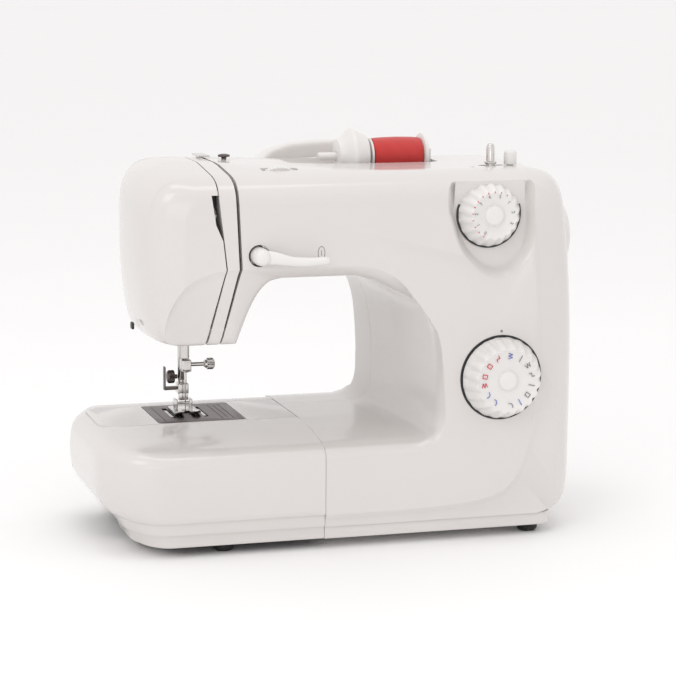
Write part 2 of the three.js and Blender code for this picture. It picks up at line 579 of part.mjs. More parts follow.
// ---------------------------------------------------------------- cast frame
const FRAME_FRONT = 53;
const FRAME_BACK = 60;
const frameOutline = points([-160, 40], [104, 36], [104, 12], [134, 12], [140, 30], [140, 238], [-122, 238],
  [-132, 228], [-132, 158], [-97, 158], [-78, 202], [30, 202], [62, 150], [62, 62], [-160, 52]);
const boss = (x0, x1, y, z, radius) => block(x0, x1, y - radius, FRAME_FRONT + 2, z - radius, z + radius);
const barGuide = (z0, z1) => block(NEEDLE_X - 9, NEEDLE_X + 9, NEEDLE_Y - 8, FRAME_FRONT + 2, z0, z1);
const bores = join(
  rodX(4.35, -200, 200, SHAFT_Y, SHAFT_Z, 14),
  rodX(3.85, -200, 110, LOWER_SHAFT_Y, LOWER_SHAFT_Z, 14),
  rodZ(3.4, 0, 300, NEEDLE_X, NEEDLE_Y),
  rodZ(3.4, 0, 300, NEEDLE_X, PRESSER_Y),
);
const frame = cut(join(alongY(frameOutline, FRAME_FRONT, FRAME_BACK), boss(-84, -74, SHAFT_Y, SHAFT_Z, 8),
  boss(74, 86, SHAFT_Y, SHAFT_Z, 8), boss(74, 86, LOWER_SHAFT_Y, LOWER_SHAFT_Z, 7), boss(-70, -60,
      LOWER_SHAFT_Y,
    LOWER_SHAFT_Z, 6.5), barGuide(160, 168), barGuide(228, 236)), bores);
piece('main_frame', frame, CAST_ALLOY);

// ---------------------------------------------------------------- needle bar
const CLAMP_Z = 115.5;
piece('needle_bar', join(rodZ(3.1, CLAMP_Z + 5, 236, 0, 0), block(-4.4, 3.6, -4.2, 4.2, 196, 204)), STEEL,
  [NEEDLE_X, NEEDLE_Y, 0]);
piece('needle_clamp', block(-3.6, 4, -3.8, 3.8, -4.5, 4.6), STEEL, [NEEDLE_X, NEEDLE_Y, CLAMP_Z]);
const clampScrew = turned([[0, 0], [1.5, 0], [1.5, 9], [3, 10.5], [4.2, 11.5], [4.2, 16], [3.4, 17],
    [0, 17]], 16);
piece('needle_clamp_screw', clampScrew.rotate(TO_X), STEEL, [NEEDLE_X + 4.3, NEEDLE_Y, CLAMP_Z + 0.5]);
const needle = turned([[0, -31], [0.45, -27], [0.55, -10], [1, -8], [1, -GAP], [0, -GAP]], 10);
piece('needle', needle, STEEL, [NEEDLE_X, NEEDLE_Y, CLAMP_Z - 4.5]);

// The take-up lever reaches from its pivot to the thread slot.
const takeUp = [[18, 214], [10, 222], [-40, 236], [-66, 240], [-71, 236], [-68, 231], [-40, 229], [6,
    208], [14, 207]];
const takeUpEye = roundedRectangle(-68.5, 234, -64.5, 237.5, 1.2, 2);
piece('take_up_lever', alongX(points(...takeUp), -109, -106.6).subtract(alongX(takeUpEye, -112, -104)),
    STEEL);

// ---------------------------------------------------------------- presser bar and foot
piece('presser_bar', rodZ(3.1, 101.5, 243, 0, 0), STEEL, [NEEDLE_X, PRESSER_Y, 0]);
const spring = cut(rodZ(5.2, 170, 226, 0, 0, 12), rodZ(3.6, 160, 230, 0, 0, 12));
piece('presser_spring', spring, STEEL, [NEEDLE_X, PRESSER_Y, 0]);
piece('presser_shank', join(block(-4, 4, -6, 4.4, 93, 101.2), block(-3.4, 3.4, -6, -2, 89, 95)), STEEL,
  [NEEDLE_X, PRESSER_Y, 0]);
piece('shank_thread_guide', block(-13.4, -12.4, -2.2, 2.2, 96, 113).add(block(-12.8, -4.3, -2.2, 2.2,
    96, 98.2)),
  DARK_STEEL, [NEEDLE_X, PRESSER_Y, 0]);
const thumb = turned([[0, 0], [1.6, 0], [1.6, 2.4], [4.8, 2.4], [4.8, 6.6], [3.8, 7.4], [0, 7.4]], 16);
piece('presser_thumb_screw', thumb.rotate([0, -90, 0]), DARK_STEEL, [NEEDLE_X - 3.5, PRESSER_Y, 105.5]);
const FOOT_PIVOT_Z = 86.5;
const sole = [
  ...points([-9.5, -21], [-4, -24], [-2.6, -22], [-2.6, -8.6], [2.6, -8.6], [2.6, -22], [4, -24], [9.5,
      -21]),
  ...points([9.5, 6], [7, 9], [-7, 9], [-9.5, 6]),
];
const toes = alongZ(points(...sole.map((p) => [p.x, p.y])), BED_TOP + GAP, BED_TOP + GAP + 1.6);
const needleGap = block(-3.4, 3.4, -12.6, -9.8, 75, 90);
const ears = join(block(-6.6, -4.2, -6, 1, BED_TOP + 1, 89.5), block(4.2, 6.6, -6, 1, BED_TOP + 1, 89.5),
  rodX(1, -5, 5, -3.5, FOOT_PIVOT_Z, 10));
piece('presser_foot', join(toes, ears).subtract(needleGap), STEEL, [NEEDLE_X, PRESSER_Y, 0]);

const lifterHub = rodY(5.6, 66, 84, -96, 178);
const lifterArm = alongY([...arc(-96, 178, 7, 90, 270, 5), ...arc(-66, 158, 5, 270, 450, 5)], 80, 85);
piece('presser_lifter', lifterHub.add(lifterArm), BLACK_PLASTIC);

// ---------------------------------------------------------------- thread path
const disc = (name, y) => piece(name, tube(2.4, 9, 0, 1, 18).rotate(TO_X), STEEL, [-90 + y, -52, 232]);
disc('tension_disc_left', 0);
disc('tension_disc_right', 2.2);
piece('tension_post', rod(2, 0, 12).rotate(TO_X), STEEL, [-93, -52, 232]);
const knurl = Array.from({ length: 48 }, (_, i) => {
  const angle = (i / 48) * Math.PI * 2;
  const r = TENSION_WHEEL.radius - (i % 2) * 0.7;
  return point(r * Math.cos(angle), r * Math.sin(angle));
});
piece('tension_wheel', alongY(knurl, -TENSION_WHEEL.width / 2, TENSION_WHEEL.width / 2), PART_WHITE,
  [TENSION_WHEEL.x, TENSION_WHEEL.y, TENSION_WHEEL.z]);
piece('thread_guide_stud', turned([[0, -6], [1.7, -6], [1.7, 0.8], [2.2, 1.5], [4.3, 1.8], [4.3, 2.8],
    [3, 3.6],
  [0, 3.6]], 16), DARK_STEEL, [-80, 16, 265.6]);
piece('pretension_guide', rodZ(1.4, 256, 268, -94.5, 34, 10).add(block(-98.5, -90.5, 15, 36, 267.2, 268.4)),
  DARK_STEEL);
piece('thread_cutter', block(-1, 1, -3, 3, -2.5, 2.5), BLACK_PLASTIC, [-156.2, -28, 156]);

// ---------------------------------------------------------------- spool, winder and handle
piece('spool_pin', rodX(2.9, -9, 74.5, SPOOL_AXIS.y, SPOOL_AXIS.z, 14)
  .add(block(71.5, 75.6, SPOOL_AXIS.y - 5, SPOOL_AXIS.y + 5, 250, 270)), PART_WHITE);
const spoolProfile = [[3.2, 0], [15.5, 0], [15.5, 2.2], [6, 2.6], [6, 40], [12.5, 40.4], [12.5, 42],
    [3.2, 42]];
piece('thread_spool', turned(spoolProfile.map(([r, x]) => [r, -x]).reverse(), 24).rotate(TO_X), PART_WHITE,
  [70.8, SPOOL_AXIS.y, SPOOL_AXIS.z]);
const woundThread = [[6.3, 3], [12.2, 3], [13, 6], [13.2, 20], [13, 37], [12.4, 39.6], [6.3, 39.6]];
piece('spool_thread', turned(woundThread.map(([r, x]) => [r, -x]).reverse(), 24).rotate(TO_X), RED_THREAD,
  [70.8, SPOOL_AXIS.y, SPOOL_AXIS.z]);
const capProfile = [[3.3, 0], [12, 0], [13, 3], [19, 9], [19.8, 10.5], [19.8, 12], [15, 21], [14.5,
    22], [3.3, 22]];
piece('spool_cap', turned(capProfile, 24).rotate(TO_X), PART_WHITE, [4.6, SPOOL_AXIS.y, SPOOL_AXIS.z]);

const winderTop = turned([[0, -14], [3, -14], [3, 1], [4.4, 1.4], [4.4, 2.6], [2.9, 3.2], [2.9, 14],
    [2, 15.6],
  [0, 15.6]], 16);
piece('winder_spindle', winderTop, STEEL, [WINDER.x, WINDER.y, ARM_TOP]);
piece('winder_arm', block(-18, 5, -4, 4, 0, 4).add(rod(3, 4, 8).translate([-14, 0, 0]))
  .subtract(rod(3.3, -5, 9)), BLACK_PLASTIC, [WINDER.x, WINDER.y, 247]);
const stopProfile = [[0, -8], [2.3, -8], [2.3, 0.6], [4.6, 0.8], [4.6, 9.6], [3.6, 10.8], [0, 10.8]];
piece('winder_stop', turned(stopProfile, 18), PART_WHITE, [WINDER.stopX, WINDER.y, ARM_TOP]);

const gripReach = Math.hypot(HANDLE.gripY - HANDLE.pivotY, HANDLE.gripZ - HANDLE.pivotZ);
const handleOuter = [
  ...points([HANDLE.left, -4], [HANDLE.left, 8]),
  ...curve([[HANDLE.left + 3, 20], [HANDLE.left + 18, gripReach], [14, gripReach + 5],
    [HANDLE.right - 18, gripReach], [HANDLE.right - 3, 20]], 12),
  ...points([HANDLE.right, 8], [HANDLE.right, -4]),
];
const handleInner = [
  ...points([HANDLE.right - 11, -4], [HANDLE.right - 11, 8]),
  ...curve([[HANDLE.right - 14, 14], [HANDLE.right - 24, gripReach - 10], [14, gripReach - 8],
    [HANDLE.left + 24, gripReach - 10], [HANDLE.left + 14, 14]], 10),
  ...points([HANDLE.left + 11, 8], [HANDLE.left + 11, -4]),
];
const lean = THREE.MathUtils.radToDeg(Math.atan2(HANDLE.gripZ - HANDLE.pivotZ,
    HANDLE.gripY - HANDLE.pivotY));
const handleBody = alongZ([...handleOuter, ...handleInner], -4, 4);
const handlePegs = [HANDLE.left - 9, HANDLE.right - 1].map((x) => rodX(2.1, x, x + 10, 0, 0, 12));
piece('carry_handle', join(handleBody, ...handlePegs).rotate([lean, 0, 0]), PART_WHITE,
  [0, HANDLE.pivotY, HANDLE.pivotZ]);

// ---------------------------------------------------------------- dials and reverse lever
// A dial has a scalloped rim, a dished face and a small cap, on a shaft that goes through the cover.
function dial({ radius, back, front }, scallops) {
  const depth = back - front;
  const body = turned([[0, -12], [4, -12], [4, 0.4], [radius - 2, 0.4], [radius, 2.5], [radius,
      depth * 0.45],
    [radius - 2.5, depth - 1.2], [radius - 5, depth], [10, depth - 3.6], [7, depth - 3.2], [6.6, depth - 1],
    [0, depth - 1]], 30);
  const bites = Array.from({ length: scallops }, (_, i) => {
    const angle = ((i + 0.5) / scallops) * Math.PI * 2;
    return rod(4.2, depth * 0.4, depth + 2, 8).translate([
      (radius + 2.9) * Math.cos(angle), (radius + 2.9) * Math.sin(angle), 0]);
  });
  return cut(body, ...bites).rotate(TO_FRONT);
}

piece('stitch_length_dial', dial(LENGTH_DIAL, 14), PART_WHITE, [LENGTH_DIAL.x, LENGTH_DIAL.back,
    LENGTH_DIAL.z]);
piece('pattern_dial', dial(PATTERN_DIAL, 16), PART_WHITE, [PATTERN_DIAL.x, PATTERN_DIAL.back,
    PATTERN_DIAL.z]);
const leverArm = alongY(points([-2, 5.4], [10, 3.4], [28, -1.8], [44, -4.6], [49, -7.4], [48, -11],
    [42, -12.4],
  [8, -8.5], [-2, -5.6]), -14, -6);
const leverHub = turned([[0, -14], [LEVER_HUB.radius, -14], [LEVER_HUB.radius, 13], [4.6, 14.5], [0,
    14.5]], 18)
  .rotate(TO_FRONT);
piece('reverse_lever', leverHub.add(leverArm), PART_WHITE,
  [LEVER_HUB.x, PANEL_FRONT, LEVER_HUB.z]);

// ---------------------------------------------------------------- electrics
piece('power_inlet', block(147, 158, 46.5, 73.5, 48.5, 67.5).subtract(block(150, 160, 50, 70, 52, 64)),
    BLACK_PLASTIC);
piece('power_switch', block(147, 160, 50.5, 69.5, 78.5, 93.5), BLACK_PLASTIC);
piece('lamp_bulb', turned([[0, -10], [6, -9], [8, -3], [8, 4], [5, 10], [5, 18], [0, 18]], 16), LAMP_GLASS,
  [-128, 10, 168]);

export default machine;
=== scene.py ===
# %% [markdown]
# A compact sewing machine, finished around a frame of solids that already has its sizes and joints.
# Every piece below takes its place from that frame. Lengths are worked out in millimetres, as a maker
# would read them from a drawing, and each finished mesh is scaled to metres once, at the end.

# %% Load the frame
import math

import bmesh
import bpy
import numpy as np
from mathutils import Matrix, Vector

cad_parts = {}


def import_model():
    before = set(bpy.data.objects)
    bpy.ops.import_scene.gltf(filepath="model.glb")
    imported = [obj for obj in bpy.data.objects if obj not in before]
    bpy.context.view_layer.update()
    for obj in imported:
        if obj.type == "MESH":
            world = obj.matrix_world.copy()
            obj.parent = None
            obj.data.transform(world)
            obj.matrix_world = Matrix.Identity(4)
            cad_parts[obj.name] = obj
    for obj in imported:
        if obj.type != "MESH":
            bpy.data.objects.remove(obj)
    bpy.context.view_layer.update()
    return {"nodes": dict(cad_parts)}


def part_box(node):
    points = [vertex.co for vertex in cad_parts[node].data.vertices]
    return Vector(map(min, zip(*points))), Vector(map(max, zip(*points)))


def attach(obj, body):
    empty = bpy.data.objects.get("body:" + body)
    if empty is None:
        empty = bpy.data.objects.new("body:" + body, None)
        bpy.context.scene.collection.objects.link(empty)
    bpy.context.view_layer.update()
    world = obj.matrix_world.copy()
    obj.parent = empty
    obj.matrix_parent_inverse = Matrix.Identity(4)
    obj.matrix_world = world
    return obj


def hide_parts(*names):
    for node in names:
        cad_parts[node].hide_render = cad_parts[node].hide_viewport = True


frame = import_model()
MM = 0.001

# %% [markdown]
# Shader maths reads best as plain expressions. Wire wraps one socket, so that adding or multiplying two
# wires adds the Math node that does it. Recipe holds one material's tree and makes every other node.

# %% Wires and recipes
class Wire:
    def __init__(self, recipe, socket):
        self.recipe, self.socket = recipe, socket

    def maths(self, operation, *values):
        return self.recipe.node("ShaderNodeMath", {"operation": operation}, dict(enumerate(values)))

    def __add__(self, other): return self.maths("ADD", self, other)
    def __radd__(self, other): return self.maths("ADD", other, self)
    def __sub__(self, other): return self.maths("SUBTRACT", self, other)
    def __rsub__(self, other): return self.maths("SUBTRACT", other, self)
    def __mul__(self, other): return self.maths("MULTIPLY", self, other)
    def __rmul__(self, other): return self.maths("MULTIPLY", other, self)
    def __pow__(self, other): return self.maths("POWER", self, other)


class Recipe:
    def __init__(self, name, **constants):
        self.material = bpy.data.materials.new(name)
        self.material.use_nodes = True
        self.tree = self.material.node_tree
        self.shader = self.tree.nodes["Principled BSDF"]
        for socket, value in constants.items():
            self.shader.inputs[socket.replace("_", " ")].default_value = value

    def node(self, kind, settings, sockets, output=0):
        made = self.tree.nodes.new(kind)
        for key, value in settings.items():
            setattr(made, key, value)
        for key, value in sockets.items():
            if isinstance(value, Wire):
                self.tree.links.new(value.socket, made.inputs[key])
            else:
                made.inputs[key].default_value = value
        return Wire(self, made.outputs[output])

    def place(self, turn=(0, 0, 0), stretch=(1, 1, 1)):
        here = self.node("ShaderNodeTexCoord", {}, {}, "Object")
        return self.node("ShaderNodeMapping", {}, {"Vector": here, "Rotation": turn, "Scale": stretch})

    def noise(self, scale, detail=3.0, place=None):
        return self.node("ShaderNodeTexNoise", {}, {"Vector": place or self.place(), "Scale": scale,
                "Detail": detail})

    def ramp(self, factor, low, high):
        return self.node("ShaderNodeMapRange", {}, {"Value": factor, "From Min": low, "From Max": high})

    def mix(self, factor, first, second):
        colours = [c if isinstance(c, Wire) else (*c, 1.0) for c in (first, second)]
        return self.node("ShaderNodeMix", {"data_type": "RGBA"}, {0: factor, 6: colours[0], 7: colours[1]}, 2)

    def bump(self, height, strength, distance):
        return self.node("ShaderNodeBump", {}, {"Height": height, "Strength": strength, "Distance": distance})

    def feed(self, **sockets):
        for name, wire in sockets.items():
            self.tree.links.new(wire.socket, self.shader.inputs[name.replace("_", " ")])
        return self.material


# %% [markdown]
# Moulded plastic is never one flat colour: the tint drifts a little from wall to wall, handling leaves
# parts slightly duller, and the mould's skin is a faint ripple. One recipe makes every plastic here.

# %% Plastic finishes
def moulded(name, light, dark, roughness, ripple=0.10, ripple_scale=620.0, coat=0.0):
    recipe = Recipe(name, Coat_Weight=coat, Coat_Roughness=0.08, IOR=1.49)
    drift = recipe.ramp(recipe.noise(9.0), 0.3, 0.7)
    handling = recipe.noise(46.0, 5.0)
    skin = recipe.noise(ripple_scale, 2.0)
    return recipe.feed(
        Base_Color=recipe.mix(drift, dark, light),
        Roughness=roughness + (handling - 0.5) * 0.14,
        Normal=recipe.bump(skin, ripple, 0.0004),
    )


shell_white = moulded("glossy shell white", (0.70, 0.672, 0.656), (0.68, 0.650, 0.634), 0.20, 0.03, coat=0.35)
part_white = moulded("satin part white", (0.78, 0.765, 0.75), (0.75, 0.73, 0.71), 0.30, 0.05)
dark_plastic = moulded("satin black plastic", (0.028, 0.028, 0.03), (0.018, 0.018, 0.02), 0.38, 0.2)
foot_rubber = moulded("foot rubber", (0.022, 0.022, 0.022), (0.012, 0.012, 0.012), 0.72, 0.5, 900.0)
clear_bobbin = moulded("milky bobbin", (0.78, 0.77, 0.74), (0.72, 0.70, 0.67), 0.24)
print("plastics: shell, parts, black, rubber, bobbin")

# %% [markdown]
# Metal shows how it was worked. Turned and drawn steel carries fine lines along one direction, which a
# noise stretched hard along that axis gives; castings are even and grainy instead.

# %% Metal, thread, glass and printed marks
def worked_metal(name, light, dark, roughness, stretch, ripple=0.25):
    recipe = Recipe(name, Metallic=1.0)
    lines = recipe.noise(150.0, 4.0, recipe.place(stretch=stretch))
    smudges = recipe.ramp(recipe.noise(60.0), 0.35, 0.75)
    return recipe.feed(
        Base_Color=recipe.mix(smudges * 0.6 + lines * 0.4, dark, light),
        Roughness=roughness + lines * 0.16,
        Normal=recipe.bump(lines, ripple, 0.00012),
    )


turned_steel = worked_metal("turned steel", (0.66, 0.64, 0.62), (0.50, 0.48, 0.47), 0.18, (1, 1, 14))
plated_steel = worked_metal("plated steel", (0.74, 0.72, 0.70), (0.60, 0.58, 0.57), 0.10, (1, 1, 8), 0.08)
dark_steel = worked_metal("dark brushed steel", (0.17, 0.145, 0.14), (0.11, 0.09, 0.088), 0.30, (14, 1, 1))
cast_alloy = worked_metal("cast alloy", (0.46, 0.46, 0.46), (0.34, 0.34, 0.34), 0.45, (3, 3, 3), 0.6)
motor_paint = moulded("motor paint", (0.07, 0.07, 0.08), (0.045, 0.045, 0.05), 0.45, 0.3)


def wound_thread():
    recipe = Recipe("wound red thread", Sheen_Weight=0.35)
    spot = recipe.place(turn=(0, 0, 0.05))
    turns = recipe.node("ShaderNodeTexWave", {"bands_direction": "X"}, {
        "Vector": spot, "Scale": 620.0, "Distortion": 0.8, "Detail": 1.0})
    fibres = recipe.noise(2600.0, 2.0)
    return recipe.feed(
        Base_Color=recipe.mix(turns * 0.75 + fibres * 0.25, (0.42, 0.012, 0.010), (0.80, 0.045, 0.040)),
        Roughness=0.52 + fibres * 0.2,
        Normal=recipe.bump(turns, 0.5, 0.0003),
    )


def lamp_glass_recipe():
    recipe = Recipe("frosted lamp glass", Transmission_Weight=0.85, IOR=1.45)
    frost = recipe.noise(420.0)
    return recipe.feed(Base_Color=recipe.mix(frost, (0.93, 0.91, 0.85), (0.97, 0.96, 0.92)),
            Roughness=0.2 + frost * 0.2,
                       Normal=recipe.bump(frost, 0.1, 0.0002))


def printed(name, ink, paler):
    recipe = Recipe(name, Specular_IOR_Level=0.3)
    speckle = recipe.noise(2400.0, 2.0)
    return recipe.feed(Base_Color=recipe.mix(recipe.ramp(speckle, 0.35, 0.75), ink, paler),
            Roughness=0.42 + speckle * 0.2,
                       Normal=recipe.bump(speckle, 0.05, 0.0001))


red_thread = wound_thread()
lamp_glass = lamp_glass_recipe()
grey_ink = printed("grey ink", (0.20, 0.19, 0.20), (0.27, 0.26, 0.27))
red_ink = printed("red ink", (0.62, 0.03, 0.06), (0.70, 0.08, 0.10))
blue_ink = printed("blue ink", (0.10, 0.14, 0.48), (0.16, 0.20, 0.54))
print("metals, thread, glass and inks are ready")

# %% [markdown]
# The shapes of this machine are drawn as a few key points joined by smooth lines. The helpers here turn
# keys into evenly spaced points, and skin a row of such lines by extruding one ring of edges again and
# again, which keeps the mesh in clean four-sided faces that take a gloss well.

# %% Lines and skins
def even(line, count):
    line = np.array(line, float)
    travelled = np.r_[0, np.cumsum(np.linalg.norm(np.diff(line, axis=0), axis=1))]
    stops = np.linspace(0, travelled[-1], count)
    return np.stack([np.interp(stops, travelled, line[:, k]) for k in range(line.shape[1])], 1)


def smooth_line(keys, count):
    keys = np.array(keys, float)
    padded = np.vstack([2 * keys[0] - keys[1], keys, 2 * keys[-1] - keys[-2]])
    fine = []
    for a, b, c, d in zip(padded, padded[1:], padded[2:], padded[3:]):
        for t in np.linspace(0, 1, 14, endpoint=False):
            fine.append(0.5 * (2 * b + (c - a) * t + (2 * a - 5 * b + 4 * c - d) * t * t
                               + (3 * b - a - 3 * c + d) * t ** 3))
    fine.append(keys[-1])
    return even(fine, count)


def skin(rings, cap_first=True, cap_last=True, closed=True):
    """A mesh drawn through rings of points, in millimetres."""
    bm = bmesh.new()
    ring = [bm.verts.new(p) for p in rings[0]]
    following = ring[1:] + ring[:1] if closed else ring[1:]
    edges = [bm.edges.new(pair) for pair in zip(ring, following)]
    first = ring
    for places in rings[1:]:
        made = bmesh.ops.extrude_edge_only(bm, edges=edges)["geom"]
        fresh = {v for v in made if isinstance(v, bmesh.types.BMVert)}
        partner = {}
        for v in fresh:
            for e in v.link_edges:
                if e.other_vert(v) not in fresh:
                    partner[e.other_vert(v)] = v
        ring = [partner[v] for v in ring]
        for v, p in zip(ring, places):
            v.co = p
        edges = [e for e in made if isinstance(e, bmesh.types.BMEdge)
                 and e.verts[0] in fresh and e.verts[1] in fresh]
    if cap_first:
        bm.faces.new(first)
    if cap_last:
        bm.faces.new(ring)
    bmesh.ops.recalc_face_normals(bm, faces=bm.faces)
    return bm


def turned(profile, steps=64, axis="Z", centre=(0, 0, 0)):
    """A piece turned on a lathe: the profile lists (height, radius) along the axis."""
    bm = bmesh.new()
    line = [bm.verts.new((r, 0, h)) for h, r in profile]
    edges = [bm.edges.new(pair) for pair in zip(line, line[1:])]
    bmesh.ops.spin(bm, geom=line + edges, angle=math.tau, steps=steps, use_merge=True,
                   axis=(0, 0, 1), cent=(0, 0, 0))
    bmesh.ops.remove_doubles(bm, verts=bm.verts, dist=1e-4)
    bmesh.ops.recalc_face_normals(bm, faces=bm.faces)
    facing = {"X": Matrix.Rotation(math.pi / 2, 4, "Y"), "Y": Matrix.Rotation(-math.pi / 2, 4, "X"),
              "-Y": Matrix.Rotation(math.pi / 2, 4, "X"), "Z": Matrix.Identity(4)}[axis]
    bmesh.ops.transform(bm, matrix=Matrix.Translation(centre) @ facing, verts=bm.verts)
    return bm


def block(low, high, soft=0.0, segments=3):
    """A block with softened edges between two corners."""
    bm = bmesh.new()
    bmesh.ops.create_cube(bm, size=1.0)
    low, high = Vector(low), Vector(high)
    bmesh.ops.scale(bm, vec=high - low, verts=bm.verts)
    bmesh.ops.translate(bm, vec=(low + high) / 2, verts=bm.verts)
    if soft:
        bmesh.ops.bevel(bm, geom=bm.edges, offset=soft, segments=segments, profile=0.5, affect="EDGES", material=-1)
    return bm


def plate(outline, axis, start, end, soft=0.0):
    """An outline given thickness along an axis: its points are the other two coordinates, in order."""
    def put(p, depth):
        return {"X": (depth, p[0], p[1]), "Y": (p[0], depth, p[1]), "Z": (p[0], p[1], depth)}[axis]
    bm = bmesh.new()
    face = bm.faces.new([bm.verts.new(put(p, start)) for p in outline])
    made = bmesh.ops.extrude_face_region(bm, geom=[face])["geom"]
    moved = [v for v in made if isinstance(v, bmesh.types.BMVert)]
    bmesh.ops.translate(bm, vec=put((0, 0), end - start), verts=moved)
    bmesh.ops.recalc_face_normals(bm, faces=bm.faces)
    if soft:
        rims = [e for e in bm.edges if len(e.link_faces) == 2 and e.calc_face_angle() > 0.9]
        bmesh.ops.bevel(bm, geom=rims, offset=soft, segments=2, profile=0.5, affect="EDGES", material=-1)
    return bm


def round_corners(x0, y0, x1, y1, r, steps=6):
    corners = [(x1 - r, y1 - r, 0), (x0 + r, y1 - r, 90), (x0 + r, y0 + r, 180), (x1 - r, y0 + r, 270)]
    return [(cx + r * math.cos(math.radians(a)), cy + r * math.sin(math.radians(a)))
            for cx, cy, start in corners for a in np.linspace(start, start + 90, steps)]


def together(*parts):
    whole = bmesh.new()
    for part in parts:
        loose = bpy.data.meshes.new("loose")
        part.to_mesh(loose)
        part.free()
        whole.from_mesh(loose)
        bpy.data.meshes.remove(loose)
    return whole


# %% [markdown]
# A finished piece always goes through the same door: its mesh is scaled to metres, its creases are marked
# where faces meet at a steep angle, it gets its finish, it is told which body it rides on, and the solids of
# the frame that it stands for are hidden.

# %% Finishing a piece, and cutting
def finish(name, bm, material, body, slot, *nodes, crease=38):
    mesh = bpy.data.meshes.new(name)
    bm.to_mesh(mesh)
    bm.free()
    mesh.transform(Matrix.Scale(MM, 4))
    mesh.shade_smooth()
    mesh.set_sharp_from_angle(angle=math.radians(crease))
    mesh.materials.append(material)
    piece = bpy.data.objects.new(name, mesh)
    bpy.context.collection.objects.link(piece)
    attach(piece, body)
    if nodes:
        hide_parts(*nodes)
    print(name, len(mesh.polygons), "faces")
    return piece


def carve(bm, *tools):
    """Cuts closed solids out of a closed solid and returns what is left."""
    names = []
    for each in (bm, *tools):
        mesh = bpy.data.meshes.new("solid")
        each.to_mesh(mesh)
        names.append(bpy.data.objects.new("solid", mesh))
        bpy.context.collection.objects.link(names[-1])
    for tool in names[1:]:
        cut = names[0].modifiers.new("cut", "BOOLEAN")
        cut.operation, cut.object, cut.solver = "DIFFERENCE", tool, "EXACT"
    graph = bpy.context.evaluated_depsgraph_get()
    shaped = bpy.data.meshes.new_from_object(names[0].evaluated_get(graph))
    result = bmesh.new()
    result.from_mesh(shaped)
    for each in names:
        bpy.data.objects.remove(each)
    open_edges = sum(not e.is_manifold for e in result.edges)
    print("carved with", len(tools), "tools,", open_edges, "open edges,", round(result.calc_volume()), "mm3")
    return result


# %% [markdown]
# The body is one shell: head, arm and pillar share a flat front panel, which is bounded by a crease round
# the opening and by a long sweep at the lower right. Behind the panel the sides, top and opening curve
# away. It is drawn as rings, front to back, each with three runs of points: up the head and over the top,
# down the right side, and back round the opening.

# %% The body's measured lines
PANEL, SEAM_X, BED_TOP, SPLIT = -78.0, -30.6, 80.4, 46.0
top_line = [(-161, 235), (-159.5, 249), (-153, 260), (-142, 265), (-125, 267.5), (-100, 266.5), (-40, 263.5),
            (20, 262), (100, 262), (124, 261.8)]
left_line = [(-138, 146.7), (-150, 150), (-156, 162), (-160.5, 195), (-161, 235)]
right_line = [(124, 261.8), (139, 258.5), (148, 250), (153, 236), (158, 195), (161, 140), (161, 70), (160, 34),
              (155, 21), (143, 16.4), (120, 16), (60, 16), (SEAM_X, 16)]
sweep_line = [(122, 262), (129, 247), (133.5, 215), (137, 180.6), (139.4, 142), (139, 112), (137.2, 86.7),
              (132.2, 70.1), (121.8, 51.3), (108.6, 39), (88.5, 30.5), (68.5, 27.4), (28.6, 25.3), (SEAM_X, 25)]
head_left = smooth_line([(-78, -130), (-72, -147), (-55, -156), (-25, -158.5), (5, -157.5), (30, -152.5), (50, -145),
                         (66, -134), (78, -115)], 90)
side_right = smooth_line([(-78, 137), (-69, 150), (-54, 158), (-30, 161), (20, 161), (66, 157), (88, 146),
                          (95, 128)], 90)
crown = smooth_line([(-78, 243), (-77, 250), (-72, 256.5), (-62, 260.5), (-45, 263), (0, 268), (30, 266.5),
                     (52, 260), (68, 250), (76, 236), (78, 225)], 120)
bed_line = [(-78, 65), (-77.4, 68), (-74, 71.5), (-66, 74.5), (-40, 78.4), (-5, BED_TOP), (70, BED_TOP), (84, 78),
            (92, 72), (95, 62)]


def follow(line, y):
    return float(np.interp(y, [p[0] for p in line], [p[1] for p in line]))


def settle(points, y):
    """Draws a ring in to the outline seen from above and to the crown seen from the side."""
    placed = []
    for x, z in points:
        limit = min(follow(crown, min(y, 78)), 268)
        top = float(np.interp(x, [p[0] for p in top_line[3:]], [p[1] for p in top_line[3:]]))
        if z > 205:
            z = 205 + (z - 205) * (min(top, limit) - 205) / (top - 205)
        if x < -100:
            x = -100 + (x + 100) * (follow(head_left, min(y, 78)) + 100) / -61
        if x > 100:
            x = 100 + (x - 100) * (follow(side_right, y) - 100) / 61
        placed.append((x, y, z))
    return placed


# %% [markdown]
# The opening under the arm is widest at the crease on the front panel. Twelve millimetres behind, it has
# its clear size, and from there the pillar's wall leans in towards the back, so the runs of points are
# blended between those three outlines.

# %% The opening and the rings
crease_runs = [
    [(SEAM_X, 25), (SEAM_X, 65)],
    [(SEAM_X, 65), (38, 66)],
    [(38, 66), (46, 69), (52.5, 75), (56, 84), (56.4, 95.1), (54.1, 126.9), (51.2, 146), (44.5, 158.9), (33.5, 173.9),
     (26.1, 183.1), (14.5, 192.8), (-3.6, 198.5), (-21.5, 199.2)],
    [(-21.5, 199.2), (-91.4, 199.2)],
    [(-91.4, 199.2), (-109.4, 198.5), (-116, 197.3)],
    [(-116, 197.3), (-121.9, 195.5), (-129, 191), (-142, 183), (-160, 181)],
]


